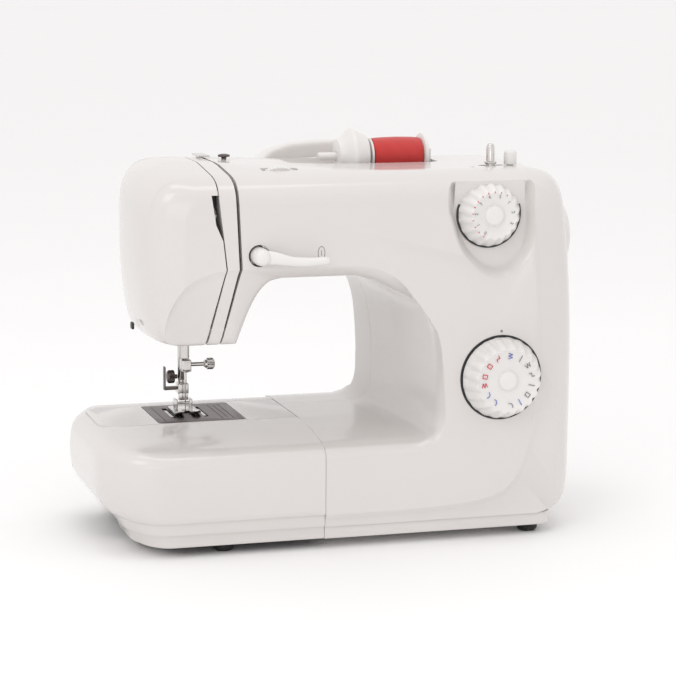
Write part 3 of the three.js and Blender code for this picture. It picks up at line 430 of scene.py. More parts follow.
def clear_runs(start, radius, wall, bed):
    arch = [(wall - 16, bed), (wall - 6, bed + 3.5), (wall - 0.8, bed + 14), (wall, bed + 30), (wall, 118),
            (wall - 2, 191 - radius * 1.35), (wall - radius * 0.25, 191 - radius * 0.66),
            (start + radius * 0.55, 191 - radius * 0.17), (start, 191)]
    return [
        [(SEAM_X, 16), (SEAM_X, bed)], [(SEAM_X, bed), (wall - 16, bed)], arch, [(start, 191), (-60, 191)],
        [(-60, 191), (-68, 189), (-74, 184), (-79, 177), (-84, 167), (-88, 157), (-92, 146.7)],
        [(-92, 146.7), (-138, 146.7)],
    ]


RUN_COUNTS = [7, 12, 46, 16, 26, 22]
head_foot = [(-78, 181), (-76, 170), (-74, 160), (-72, 153), (-69, 149), (-66, 146.7), (95, 146.7)]


def opening_at(y):
    spread = [[smooth_line(run, n) if len(run) > 2 else even(run, n) for run, n in zip(runs, RUN_COUNTS)]
              for runs in (crease_runs, clear_runs(-8, 38, 52, follow(bed_line, -66)),
                           clear_runs(-6, 38, 44, follow(bed_line, -3)), clear_runs(1, 30, 36, BED_TOP))]
    places = [-78, -66, -3, 95]
    index = min(2, sum(y >= p for p in places[1:]))
    share = min(1.0, (y - places[index]) / (places[index + 1] - places[index]))
    if index == 0:
        share = math.sin(share * math.pi / 2) ** 0.9
    runs = [a + (b - a) * share for a, b in zip(spread[index], spread[index + 1])]
    lift = follow(bed_line, y) - runs[1][0][1]
    runs[0][:, 1] += lift * np.linspace(0, 1, len(runs[0]))
    runs[1][:, 1] += lift
    runs[2][:, 1] += lift * np.clip(1 - np.linspace(0, 3, len(runs[2])), 0, 1)
    return runs


def lower_left(y):
    """The head's left side, from where the crease meets it up to the crown."""
    foot = follow(head_foot, y)
    line = smooth_line(left_line, 60)
    kept = [p for p in line if p[1] >= foot]
    return even([(np.interp(foot, line[:, 1], line[:, 0]), foot), *kept, *smooth_line(top_line, 60)[1:]], 84)


def right_run(y):
    outer = smooth_line(right_line, 110)
    inner = smooth_line(sweep_line, 110)
    if y > -75.8:
        return outer
    toward = np.stack([np.gradient(inner[:, 1]), -np.gradient(inner[:, 0])], 1)
    toward = -toward / np.linalg.norm(toward, axis=1)[:, None]
    grow = float(np.interp(y, [-78, -77.7, -76.4, -76], [0, 0.6, 3.4, 4.0]))
    return inner + toward * grow * np.clip(np.linspace(0, 9, len(inner)), 0, 1)[:, None]


def ring(y):
    left = lower_left(y)
    right = right_run(y)
    under = [run[:-1] for run in opening_at(y)]
    under[0][:, 1] = np.linspace(right[-1][1], under[1][0][1], len(under[0]) + 1)[:-1]
    joined = np.vstack(under)
    gap = left[0] - np.array([joined[-1][0], joined[-1][1]])
    tail = 24
    weight = np.linspace(0, 1, tail + 1)[1:]
    joined[-tail:] += (weight ** 2)[:, None] * gap * (tail - 1) / tail
    return settle(np.vstack([left[:-1], right[:-1], joined]), y)


# %% [markdown]
# With the rings placed, the body is skinned, the panel is inset once so that its flat face stays flat in
# the shading, and the back cap is sliced level by level, so that it can widen into the base.

# %% Skin the body
stations = [-78, -77.7, -77.2, -76.4, -76, -75.6, -74.8, -73.5, -72, -70, -68, -66, -62, -57, -51, -44, -36, -26, -14,
            -3, 10, 22, 34, SPLIT, 52, 58, 64, 69, 73, 76, 77.6, 78]
body = skin([ring(y) for y in stations])
front_face = max(body.faces, key=lambda f: len(f.verts) if f.calc_center_median().y < 0 else 0)
bmesh.ops.inset_region(body, faces=[front_face], thickness=0.5, use_even_offset=True)
for level in (62, 68, 74, 80, 86, 92, 98, 106):
    geometry = body.verts[:] + body.edges[:] + [f for f in body.faces if len(f.verts) > 4 and f.calc_center_median().y > 60]
    bmesh.ops.bisect_plane(body, geom=geometry, plane_co=(0, 0, level), plane_no=(0, 0, 1))
back_line = smooth_line([(0, 95), (62, 95), (72, 93), (80, 86), (92, 80), (104, 78), (300, 78)], 200)
for v in body.verts:
    if v.co.y > SPLIT + 1:
        share = (v.co.y - SPLIT) / (78 - SPLIT)
        v.co.y = SPLIT + share * (follow(back_line, v.co.z) - SPLIT)
BACK_LIMIT = 94.9
for v in body.verts:
    v.co.y = min(v.co.y, BACK_LIMIT)
print("body skinned:", len(body.faces), "faces")

# %% [markdown]
# Four hollows are cut into the closed body before it becomes a shell, so that each has its own walls:
# the round-bottomed recess of the upper dial, the trough of the spool, the tray of the handle, and the
# shallow slope that leans back across the foot of the head.

# %% Hollows
length_dial = Vector((89, -69, 231.5))
RECESS_TOP = 256
recess_line = [(56.4, 275), (56.4, 240), (58.4, 229.6), (66, 208.5), (79.5, 192.8), (92.8, 186.6), (106, 189.5),
               (117.8, 202.9), (122, 219.4), (122.6, 240), (122.6, 275)]
recess_rings = [[(x + (x - 90) * g, y - max(0, z - RECESS_TOP) * 0.9, z + (z - 232) * g)
                 for x, z in smooth_line(recess_line, 70)]
                for y, g in ((-86, 0.06), (-78.2, 0.02), (-77.4, -0.01), (-75.8, -0.05), (-73.6, -0.1), (-71.4,
                        -0.14),
                             (-70, -0.17), (-69.4, -0.2))]
recess = skin(recess_rings)
trough_profile = [(-36, 0), (-36, 19), (-34, 22), (-30, 23), (70, 23), (74, 22), (76, 19), (76, 0)]
trough = turned(trough_profile, 56, "X", (0, 22, 265.3))
tray = block((-52, SPLIT + 1, 246), (80, 110, 320), 7, 4)
FLARE_TOP = 198
flare_line = smooth_line([(-153, 136), (-149.3, 150.2), (-144.3, 168.4), (-134.4, 184.6), (-118.6, 194.7),
                          (-101.6, 198.8), (-91.9, 198.4), (-82.1, 195.6), (-62.5, 192.4), (-40, 191.6)], 60)
flare = skin([[(x + shift, y + lean * max(0, FLARE_TOP - z), z - shift * 1.1)
               for x, z in [*flare_line, (-30, 100), (-165, 100)]]
              for y, shift, lean in ((-88, 0, 0), (-77.9, 0, 0), (-77.4, 1, 0.05), (-76.6, 2.5, 0.11), (-76, 4.5,
                      0.15))])
body = carve(body, recess, trough, tray, flare)

# %% [markdown]
# Inside, the body is hollowed by overlapping blocks: one in the head for the needle bar, two along the arm
# for the shaft, and two in the pillar for the dials' works, the belt and the motor. Three small ones make
# room for the top of the needle bar and for the tip of the take-up lever.

# %% Inner spaces and openings
spaces = [block((-146, -62, 150.5), (-62, 68, 252), 8, 3), block((-70, -60, 196), (70, 1.5, 254), 6, 3),
          block((64, -64, 22), (148, 84, 180), 10, 3), block((64, -62, 170), (148, 60, 240), 8, 3),
          block((-90, 8, 198), (152, 44, 236), 6, 3), block((-116, 20, 240), (-96, 42, 260.5), 2),
          block((-111, -74.5, 190), (-105, -58, 250), 0.5), block((-111, -71, 240), (-105, -58, 256.5), 0.5)]
window = plate([(-111.4, 250), (-110.6, 244), (-108.4, 230), (-103.6, 219), (-103.0, 219), (-105.8, 244),
        (-106.4, 250)],
               "Y", -90, -50)
needle_mouth = plate(round_corners(-140, -20, -92, 56, 8), "Z", 130, 156)
lever_hole = turned([(-90, 0), (-90, 7.6), (-55, 7.6), (-55, 0)], 40, "Y", (-78.4, 0, 208.3))
winder_slot = plate(round_corners(93, -39.5, 112, -32.5, 3.4), "Z", 236, 290)
wheel_slot = plate(round_corners(-68, -46.4, -42, -37.6, 1.5), "Z", 240, 290)
small_hole = turned([(250, 0), (250, 1.6), (290, 1.6), (290, 0)], 24, "Z", (85.6, -45, 0))
wheel_hole = turned([(140, 0), (140, 8), (190, 8), (190, 0)], 40, "X", (0, 30, 203))
inlet_hole = block((140, 46, 48), (175, 74, 68), 1.5)
switch_hole = block((140, 50, 76), (175, 70, 96), 1.5)
lifter_hole = turned([(55, 0), (55, 6.6), (90, 6.6), (90, 0)], 32, "Y", (-96, 0, 178))
body = carve(body, *spaces)
body = carve(body, window, needle_mouth, lever_hole, winder_slot, wheel_slot, small_hole, wheel_hole, inlet_hole,
             switch_hole, lifter_hole)

# %% [markdown]
# The mould parts in two: a front cover and a rear cover meet in a fine seam. The head splits again along
# the thread slots into a face cover, a narrow rib between the slots, and the rest.

# %% Covers
# Painted shade: dark strips set behind the thread slots stand for the deep shade inside them.
slot_shade_left = [(-107, 249), (-104.5, 222), (-101.2, 199), (-110.6, 158)]
slot_shade_right = [(-93.5, 244), (-91.1, 199), (-100.9, 158)]


def strip(line, half_width):
    return [(x - half_width, z) for x, z in line] + [(x + half_width, z) for x, z in reversed(line)]


slot_left = [(-107.5, 300), (-106.5, 244), (-103.5, 222), (-100.8, 199), (-113.0, 147), (-116.5, 130)]
slot_right = [(-96, 300), (-94, 247), (-91.6, 199), (-103.5, 147), (-107, 130)]
FAR = 240


def left_of(line, shift):
    return plate([(x + shift, z) for x, z in line] + [(line[-1][0] + shift, -60), (-FAR, -60), (-FAR, 300)], "Y",
            -FAR, FAR)


def right_of(line, shift):
    return plate([(x + shift, z) for x, z in line] + [(line[-1][0] + shift, -60), (FAR, -60), (FAR, 300)], "Y",
            -FAR, FAR)


def beyond(y, low=-FAR):
    return block((-FAR, y, low), (FAR, FAR, 320))


def before(y):
    return block((-FAR, -FAR, -60), (FAR, y, 320))


finish("face_shell", carve(body.copy(), right_of([(x - (0.8 if z < 199 else 0), z) for x, z in slot_left],
        -0.45)), shell_white, "machine", "shell_white", "face_cover")
finish("slot_rib", carve(body.copy(), left_of(slot_left, 0.45), right_of(slot_right, -0.6), beyond(28)), shell_white,
       "machine", "shell_white", "thread_guide_rib")
# Painted shade: the dark strips behind the slots darken them as shade would.
finish("slot_shade_strips", together(plate(strip(slot_shade_left, 6), "Y", -64, -63), plate(strip(slot_shade_right, 2), "Y",
        -68.2, -67.2)),
       dark_plastic, "machine", "black_plastic")
rib_gap = plate([(x - 2, z) for x, z in slot_left] + [(x + (1.6 if z > 190 else 0.6), z) for x,
        z in reversed(slot_right)],
                "Y", -120, 28.4)
main_body = carve(body, left_of(slot_left, 0.45), rib_gap)
finish("front_shell", carve(main_body.copy(), beyond(SPLIT - 0.15)), shell_white, "machine", "shell_white",
       "front_cover")
finish("rear_shell", carve(main_body, before(SPLIT + 0.15)), shell_white, "machine", "shell_white", "rear_cover")
base_right = [(141.5, 91), (141.5, -60), *[(127.5 + 14 * math.cos(a), -60 - 14 * math.sin(a))
                                          for a in np.linspace(0, math.pi / 2, 8)[1:]], (SEAM_X, -74), (SEAM_X, 91)]
finish("base_plinth", plate(base_right, "Z", 7, 15.9, 0.8), shell_white, "machine", "shell_white")

# %% [markdown]
# The extension table is a thin moulding that slides off to the left. Its top rises gently from a rounded
# front edge to the bed, so it is made from a grid whose rows are laid along the outline, with the height
# worked out from the distance to the front, left and rear edges. The sides are extruded down in tiers.

# %% Extension table
TABLE_LEFT, TABLE_RIGHT = -186.0, SEAM_X - 0.3
edge_rows = [0, 0.35, 0.9, 1.8, 3.2, 5.2, 8, 12, 17, 23, 30, 38]
rows_y = [PANEL + d for d in edge_rows] + list(np.linspace(-30, 55, 14)) + [95 - d for d in reversed(edge_rows)]
columns = [*np.array([0, 0.35, 0.9, 1.8, 3.2, 5.2, 8, 12, 17, 23, 30, 40]), *np.linspace(52, 150, 14)]
left_height = smooth_line([(0, 58), (2, 70), (9, 77.5), (20, BED_TOP), (60, BED_TOP)], 120)
front_height = smooth_line([(0, 65), (0.6, 68), (4, 71.5), (12, 74.5), (38, 78.4), (73, BED_TOP), (110,
        BED_TOP)], 120)
rear_height = smooth_line([(0, 62), (3, 72), (11, 78), (25, BED_TOP), (60, BED_TOP)], 120)


def table_left(y, inset=0.0):
    front, rear = PANEL + inset, 95 - inset
    left = TABLE_LEFT + inset * 1.6
    if y < front + 42:
        return left + 42 - math.sqrt(max(0, 42 ** 2 - (front + 42 - y) ** 2))
    if y > rear - 42:
        return left + 42 - math.sqrt(max(0, 42 ** 2 - (y - rear + 42) ** 2))
    return left


def table_height(x, y, from_left):
    lines = ((left_height, from_left), (front_height, y - PANEL), (rear_height, 95 - y))
    drops = [BED_TOP - follow(line, min(d, 59.9 if line is not front_height else 109)) for line, d in lines]
    return BED_TOP - min(BED_TOP - 56, float(np.linalg.norm(drops)))


table = bmesh.new()
bmesh.ops.create_grid(table, x_segments=len(columns) - 1, y_segments=len(rows_y) - 1, size=0.5)
for v in table.verts:
    column = round((v.co.x + 0.5) * (len(columns) - 1))
    row = round((v.co.y + 0.5) * (len(rows_y) - 1))
    y = rows_y[row]
    start = table_left(y)
    across = columns[column]
    if column > 11:
        across = columns[11] + (column - 11) / (len(columns) - 12) * (TABLE_RIGHT - start - columns[11])
    v.co = (start + across, y, table_height(start + across, y, across))
start_x = table.verts.layers.float.new("start x")
start_y = table.verts.layers.float.new("start y")
for v in table.verts:
    v[start_x], v[start_y] = v.co.x, v.co.y
rim = [e for e in table.edges if e.is_boundary]


def square_in(x, y):
    """The direction that leads in from the table's outline, square to it."""
    if x > TABLE_RIGHT - 0.01:
        return Vector((0, 1 if y < -40 else -1 if y > 60 else 0))
    centre_x, front_y, rear_y = TABLE_LEFT + 42, PANEL + 42, 95 - 42
    if x < centre_x and (y < front_y or y > rear_y):
        return (Vector((centre_x, front_y if y < front_y else rear_y)) - Vector((x, y))).normalized()
    return Vector((1, 0)) if x < TABLE_LEFT + 1 else Vector((0, 1 if y < 0 else -1))


def drop_rim(bm, edges, tiers):
    """Extrudes the rim again and again: each tier is (how far in, height, how far under the left end)."""
    for inset, height, tuck in tiers:
        made = bmesh.ops.extrude_edge_only(bm, edges=edges)["geom"]
        fresh = {g for g in made if isinstance(g, bmesh.types.BMVert)}
        for v in fresh:
            x, y = v[start_x], v[start_y]
            inward = square_in(x, y)
            under = tuck * max(0.0, min(1.0, (-110 - x) / 72)) ** 1.4
            v.co = (x + inward.x * inset + under, y + inward.y * inset, height)
        edges = [g for g in made if isinstance(g, bmesh.types.BMEdge) and set(g.verts) <= fresh]
    return edges


last_row = drop_rim(table, rim, [(0, 52, 0), (0, 46, 0.5), (0, 40, 1.6), (0, 34, 4.5), (0, 29, 9), (0, 26, 12.5),
                                 (0.4, 25.2, 13.5), (1.7, 25, 14), (2, 24.6, 14.3), (2, 17.4, 17), (2.4, 16.4, 17.4),
                                 (3.7, 16.1, 17.6), (4, 15.6, 17.8), (4, 9.5, 19.5), (4.7, 7.5, 20.2), (6, 7, 20.6)])
bmesh.ops.contextual_create(table, geom=last_row)
bmesh.ops.recalc_face_normals(table, faces=table.faces)


def arm_outline(grow, right=TABLE_RIGHT):
    left, front, back, corner = -174 - grow, -5 - grow, 66 + grow, 14 + grow
    turns = [(left + corner + corner * math.cos(math.radians(a)), back - corner + corner * math.sin(math.radians(a)))
             for a in np.linspace(90, 180, 10)]
    turns += [(left + corner + corner * math.cos(math.radians(a)),
            front + corner + corner * math.sin(math.radians(a)))
              for a in np.linspace(180, 270, 10)]
    return [*turns, (right, front), (right, back)]


arm_gap = plate(arm_outline(0.35, SEAM_X + 6), "Z", -20, 120)
hollow = plate([(TABLE_LEFT + 34, 60), (TABLE_LEFT + 34, -34), (TABLE_LEFT + 56, PANEL + 12), (SEAM_X + 6,
        PANEL + 12),
                (SEAM_X + 6, 85), (TABLE_LEFT + 50, 85)], "Z", -20, 60)
table = carve(table, arm_gap, hollow)
finish("table_shell", table, shell_white, "table", "shell_white", "extension_table", crease=34)

# %% [markdown]
# The free arm stays behind when the table comes off. Its top is flush with the table and carries the
# steel needle plate, which has a slot for the needle and four for the feed dog's teeth.

# %% Free arm, plate and feed dog
arm = plate(arm_outline(0.0), "Z", 30, BED_TOP, 0.5)
arm_hollow = plate(arm_outline(-2.2, SEAM_X + 3), "Z", 33, BED_TOP - 2.2)
plate_seat = plate(round_corners(-132.3, -2.8, -68.2, 61.8, 2.3), "Z", BED_TOP - 1.8, 100)
plate_well = block((-129, 0.5, 60), (-71.5, 58.5, 100))
door_seat = plate(round_corners(-140.3, 35.7, -75.7, 76.3, 5.3), "Y", -12, 1)
finish("free_arm_shell", carve(arm, arm_hollow, plate_seat, plate_well, door_seat), shell_white, "machine",
       "shell_white", "free_arm_cover")
finish("bobbin_door_panel", plate(round_corners(-140, 36, -76, 76, 5), "Y", -5, -2.8, 0.5), shell_white, "machine",
       "shell_white", "bobbin_door")
needle_slot = plate(round_corners(-109.6, 29, -101.6, 31.6, 1.25), "Z", 70, 90)
feed_slots = [plate(round_corners(-105.6 + dx - 1.7, 14.3, -105.6 + dx + 1.7, 50.3, 0.8, 4), "Z", 70, 90)
              for dx in (-12, -6.2, 6.2, 12)]
score_lines = [block((x, y0, BED_TOP - 0.25), (x + 0.5, y1, 90)) for x, y0, y1 in
               ((-84, 4, 56), (-80, 8, 52), (-76, 4, 56), (-126, 4, 56))]
plate_blank = plate(round_corners(-132, -2.5, -68.5, 61.5, 2), "Z", BED_TOP - 1.6, BED_TOP, 0.25)
finish("plate_steel", carve(plate_blank, needle_slot, *feed_slots, *score_lines), dark_steel, "machine", "dark_steel",
       "needle_plate")
print("bed finished")

# %% [markdown]
# A dial is turned with a dished face and a small round cap, and its rim is then pressed into scallops for
# the fingers. The scallops are made by drawing the rim's points in and out round the circle.

# %% Dials
def scalloped_dial(centre, radius, depth, scallops, bite):
    profile = [(-12, 0), (-12, 4), (0.6, 4), (0.6, radius - 1.6), (1.0, radius - 0.5), (2.0, radius),
               (depth * 0.35, radius - 1.4), (depth * 0.6, radius - 2.6), (depth - 2.6, radius - 4.0),
               (depth - 1.0, radius - 5.2), (depth - 0.2, radius - 5.9), (depth, radius - 6.4),
               (depth - 0.5, radius - 7.2), (depth - 1.3, radius - 9.4), (depth - 2.3, radius * 0.5),
               (depth - 2.9, radius * 0.4), (depth - 3.1, 8.4), (depth - 2.8, 7.4),
               (depth - 1.6, 6.9), (depth - 0.6, 6.5), (depth - 0.15, 5.7), (depth, 4), (depth, 0)]
    bm = turned(profile, scallops * 8, "-Y", (0, 0, 0))
    for v in bm.verts:
        out = math.hypot(v.co.x, v.co.z)
        if out > radius - 8.5 and -v.co.y > 1.0:
            angle = math.atan2(v.co.z, v.co.x) * scallops
            share = min(1, (-v.co.y - 1.0) / 3) * min(1, (out - radius + 8.5) / 3.5)
            dip = bite * (0.5 + 0.5 * math.cos(angle)) ** 1.6 * share
            v.co.x *= 1 - dip / out
            v.co.z *= 1 - dip / out
    bmesh.ops.translate(bm, vec=centre, verts=bm.verts)
    return bm


pattern_dial = Vector((97, -78, 116.5))
lever_hub = Vector((-78.4, -78, 208.3))
finish("length_dial_body", scalloped_dial(length_dial, 22.8, 14.4, 18, 1.5), part_white, "length_knob", "part_white",
       "stitch_length_dial", crease=50)
finish("pattern_dial_body", scalloped_dial(pattern_dial, 29, 16.6, 20, 1.9), part_white, "pattern_knob", "part_white",
       "pattern_dial", crease=50)
# Painted shade: thin black rings just behind each dial's rim stand for the shadow in the gap round it.
gap_shade_rings = [turned([(0, out - 6), (0, out), (0.3, out), (0.3, out - 6), (0, out - 6)], 72, "-Y",
        tuple(centre + Vector((0, lift, 0))))
        for centre, out, lift in ((length_dial, 23.9, -0.9), (pattern_dial, 30.2, 0))]
finish("dial_gap_shade", together(*gap_shade_rings), dark_plastic, "machine", "black_plastic")

# %% [markdown]
# The marks round the dials are plain: numerals for the stitch length, and simple bars, rings and zigzags
# for the patterns. Each mark is a thin raised print, made from a text curve or a few small blocks.

# %% Printed marks
def lettering(words, size, spot, turn):
    curve = bpy.data.curves.new("mark", "FONT")
    curve.body, curve.size, curve.extrude = words, size, 0.06
    curve.align_x = curve.align_y = "CENTER"
    holder = bpy.data.objects.new("mark", curve)
    bpy.context.collection.objects.link(holder)
    graph = bpy.context.evaluated_depsgraph_get()
    mesh = bpy.data.meshes.new_from_object(holder.evaluated_get(graph))
    bpy.data.objects.remove(holder)
    mesh.transform(Matrix.Translation(spot) @ Matrix.Rotation(turn, 4, "Y") @ Matrix.Rotation(math.pi / 2, 4, "X"))
    bm = bmesh.new()
    bm.from_mesh(mesh)
    bpy.data.meshes.remove(mesh)
    return bm


def round_dial(centre, depth, out, degrees):
    angle = math.radians(degrees)
    spot = centre + Vector((out * math.sin(angle), -depth, out * math.cos(angle)))
    return spot, angle


def stroke(spot, turn, points, width=0.55):
    """A mark drawn from short bars between points, turned to face outwards."""
    bars = []
    for (x0, z0), (x1, z1) in zip(points, points[1:]):
        long = math.hypot(x1 - x0, z1 - z0)
        bar = block((-width / 2, -0.06, -0.1), (width / 2, 0.06, long + 0.1))
        lean = math.atan2(x1 - x0, z1 - z0)
        place = Matrix.Translation(spot) @ Matrix.Rotation(turn, 4, "Y") @ Matrix.Translation((x0, 0, z0))
        bmesh.ops.transform(bar, matrix=place @ Matrix.Rotation(lean, 4, "Y"), verts=bar.verts)
        bars.append(bar)
    return together(*bars)


length_marks = [lettering(word, 3.4, *round_dial(length_dial, 13.9, 13.5, -150 + 33 * i))
                for i, word in enumerate(("0", "1", "2", "3", "4", "S", "1", "2", "3"))]
finish("length_numerals", together(*length_marks), grey_ink, "length_knob", "part_white")
length_ticks = [stroke(*round_dial(length_dial, 14.45, 16.4, -150 + 16.5 * i), [(0, -0.6), (0,
        0.6)]) for i in range(12)]
finish("length_ticks", together(*length_ticks), red_ink, "length_knob", "part_white")
zigzag = [(-1.4, -2), (1.4, -1), (-1.4, 0), (1.4, 1), (-1.4, 2)]
dashes = [(0, -2.4), (0, 2.4)]
steps = [(-1.2, -2), (-1.2, 0), (1.2, 0), (1.2, 2)]
boxes = [(-1.3, -1.6), (1.3, -1.6), (1.3, 1.6), (-1.3, 1.6), (-1.3, -1.6)]
hook = [(-1.5, 1.6), (-1.6, 0), (-0.6, -1.5), (1.4, -1.7)]
shapes = {"red": (red_ink, [(-78, boxes), (-52, boxes), (-26, steps), (-98, zigzag)]),
          "blue": (blue_ink, [(4, zigzag), (-122, hook), (-146, hook), (150, dashes)]),
          "grey": (grey_ink, [(30, dashes), (54, zigzag), (78, steps), (102, dashes), (126, boxes), (174, hook)])}
for colour, (ink, marks) in shapes.items():
    drawn = [stroke(*round_dial(pattern_dial, 15.65, 17.7, angle), line) for angle, line in marks]
    finish(f"pattern_marks_{colour}", together(*drawn), ink, "pattern_knob", "part_white")
index_dot = turned([(0, 0), (0, 0.9), (0.2, 0.9), (0.2, 0)], 20, "-Y", (pattern_dial.x, -78, 149.4))
finish("index_marks", together(index_dot), grey_ink, "machine", "shell_white")
oval = [(2.4 * math.cos(a), 4.4 * math.sin(a)) for a in np.linspace(0, math.tau, 21)]
press_mark = together(stroke(Vector((-34.7, -78.02, 209)), 0, oval, 0.4),
                      stroke(Vector((-34.7, -78.02, 209)), 0, [(0, 1.8), (0, -1.8)], 0.4))
finish("press_mark", press_mark, grey_ink, "machine", "shell_white")
print("dials marked")

# %% [markdown]
# The reverse lever springs back after each press. It has a round hub in a round hole and a slim arm that
# dips a little, runs level to the right and thins to its tip, skinned through ovals along a curved line.

# %% Reverse lever
def swept(line, sizes, sides=20):
    """An oval rod along a line of points: sizes are (half depth, half height) at each point."""
    line = [Vector(p) for p in line]
    rings = []
    for i, (here, (deep, high)) in enumerate(zip(line, sizes)):
        along = (line[min(i + 1, len(line) - 1)] - line[max(i - 1, 0)]).normalized()
        up = Vector((0, 0, 1)) - along * along.z
        up = up.normalized() if up.length > 0.1 else Vector((0, 1, 0))
        side = along.cross(up)
        rings.append([here + side * deep * math.cos(a) + up * high * math.sin(a)
                      for a in np.linspace(0, math.tau, sides, endpoint=False)])
    return skin(rings)


lever_path = smooth_line([(-77, -85, 208.3), (-68, -87, 207.2), (-58, -88.5, 205.2), (-46, -89.5, 204.6),
                          (-37, -90, 205), (-31.5, -90, 205)], 36)
lever_sizes = [(np.interp(t, [0, 0.12, 0.4, 0.8, 0.93, 0.98, 1], [3.2, 3.2, 2.6, 3.2, 3.3, 2.4, 0.6]),
                np.interp(t, [0, 0.12, 0.4, 0.8, 0.93, 0.98, 1], [4.8, 4.6, 3.4, 3.0, 2.9, 2.2, 0.6]))
               for t in np.linspace(0, 1, 36)]
hub = turned([(-14, 0), (-14, 5.6), (-13.4, 6), (6, 6), (9.5, 5.7), (11.6, 4.6), (12.6, 2.8), (12.9, 0)], 48, "-Y",
             lever_hub)
finish("lever_body", together(hub, swept(lever_path, lever_sizes)), part_white, "reverse", "part_white",
        "reverse_lever",
       crease=60)

# %% [markdown]
# The spool lies on its pin in the trough, held by a cap. The thread is a slightly barrelled winding with
# fine ridges where each turn lies, and the spool and cap are turned plastic.

# %% Spool, thread, cap and pin
spool_x = 70.8
flange = [(-42, 3.2), (-42, 12.2), (-41.6, 12.5), (-40.6, 12.5), (-40.4, 12.2), (-40.2, 6), (-2.6, 6), (-2.4, 14.9),
          (-2.0, 15.5), (-0.4, 15.5), (0, 15), (0, 3.2), (-42, 3.2)]
finish("spool_body", turned(flange, 64, "X", (spool_x, 22, 265.3)), part_white, "spool", "part_white", "thread_spool")
turns_of_thread = [(-39.6, 6.3)]
for i, x in enumerate(np.linspace(-39.4, -3.2, 150)):
    t = (x + 39.4) / 36.2
    barrel = 12.2 + 1.0 * math.sin(math.pi * min(1, max(0, t))) ** 0.5
    turns_of_thread.append((x, barrel - (0.10 if i % 2 else 0.0)))
turns_of_thread.append((-3.0, 6.3))
finish("thread_winding", turned([*turns_of_thread, turns_of_thread[0]], 72, "X", (spool_x, 22, 265.3)), red_thread,
       "spool", "red_thread", "spool_thread", crease=80)
cap = [(0, 3.3), (0, 11.6), (0.4, 12.2), (3, 13), (6, 15.8), (9, 19), (10, 19.7), (11, 19.8), (12, 19.5), (14, 18.4),
       (17.5, 16.8), (21, 15.2), (21.8, 14.8), (22, 14.2), (22, 3.3), (0, 3.3)]
finish("spool_cap_body", turned(cap, 64, "X", (4.6, 22, 265.3)), part_white, "cap", "part_white", "spool_cap")
pin = turned([(-9, 0), (-9, 2), (-8.6, 2.6), (-8, 2.9), (74.4, 2.9), (74.4, 0)], 40, "X", (0, 22, 265.3))
finish("spool_pin_rod", together(pin, block((71.6, 17, 250), (75.6, 27, 270), 0.8)), part_white, "machine",
        "part_white",
       "spool_pin")

# %% [markdown]
# Small turned parts on top: the bobbin winder's spindle and its stop, the tension wheel that stands
# through a slot, a guide stud and the hand wheel at the far right.

# %% Winder, stop, tension wheel, hand wheel
winder = [(-14, 0), (-14, 3), (0.9, 3), (1.3, 4.2), (1.6, 4.4), (2.5, 4.4), (2.8, 3.6), (3.1, 2.95), (13.2, 2.9),
          (14.6, 2.5), (15.4, 1.6), (15.6, 0)]
finish("winder_post_steel", together(turned(winder, 40, "Z", (102, -36, 262))), plated_steel, "winder_post", "steel",
       "winder_spindle")
stop = [(-8, 0), (-8, 2.3), (0.5, 2.3), (0.6, 4.4), (1.0, 4.6), (8.6, 4.6), (9.8, 4.2), (10.5, 3.3), (10.8, 1.8),
        (10.8, 0)]
finish("winder_stop_body", turned(stop, 40, "Z", (117, -36, 262)), part_white, "machine", "part_white", "winder_stop")
knurl = turned([(-3, 0), (-3, 17.2), (-2.4, 18), (2.4, 18), (3, 17.2), (3, 0)], 96, "Y", (0, 0, 0))
for i, v in enumerate(knurl.verts):
    angle = math.atan2(v.co.z, v.co.x)
    if math.hypot(v.co.x, v.co.z) > 15:
        v.co *= 1.0 - 0.02 * (round(angle / math.tau * 96) % 2)
bmesh.ops.translate(knurl, vec=(-55, -42, 247.5), verts=knurl.verts)
finish("tension_wheel_body", knurl, part_white, "tension_knob", "part_white", "tension_wheel", crease=25)
wheel = [(3, 0), (3, 4.3), (0, 4.3), (0, 22), (0.6, 24), (1.8, 25.8), (4, 27.2), (5.5, 27.5), (11.5, 27.5), (14, 27),
         (16.5, 25.6), (18.4, 23.4), (19.4, 21), (20.2, 17), (21, 13), (21.6, 12), (22, 10), (22.6, 8), (22.9,
                 5), (23, 0)]
handwheel = turned(wheel, 96, "X", (0, 0, 0))
for v in handwheel.verts:
    out = math.hypot(v.co.y, v.co.z)
    if out > 25 and 3 < v.co.x < 15:
        dip = 0.55 * (0.5 + 0.5 * math.cos(math.atan2(v.co.z, v.co.y) * 24))
        v.co.y, v.co.z = v.co.y * (1 - dip / out), v.co.z * (1 - dip / out)
bmesh.ops.translate(handwheel, vec=(163, 30, 203), verts=handwheel.verts)
finish("handwheel_body", handwheel, part_white, "drive", "part_white", "handwheel", crease=50)
stud = [(-6, 0), (-6, 1.7), (0.8, 1.7), (1.4, 2.2), (1.7, 4.1), (2.0, 4.3), (2.8, 4.3), (3.2, 3.6), (3.6, 2),
        (3.6, 0)]
finish("guide_stud_steel", turned(stud, 32, "Z", (-80, 16, 265.6)), dark_steel, "machine", "chrome_steel",
       "thread_guide_stud")

# %% [markdown]
# The carrying handle folds flat behind the top. It is one bowed grip that tapers into two arms, skinned
# along its centre line, with round pegs in the rear cover for hinges.

# %% Carrying handle
def handle_frame(x, reach, lift=0.0):
    lean = math.atan2(10, 28)
    return (x, 58 + reach * math.cos(lean) - lift * math.sin(lean),
            253 + reach * math.sin(lean) + lift * math.cos(lean))


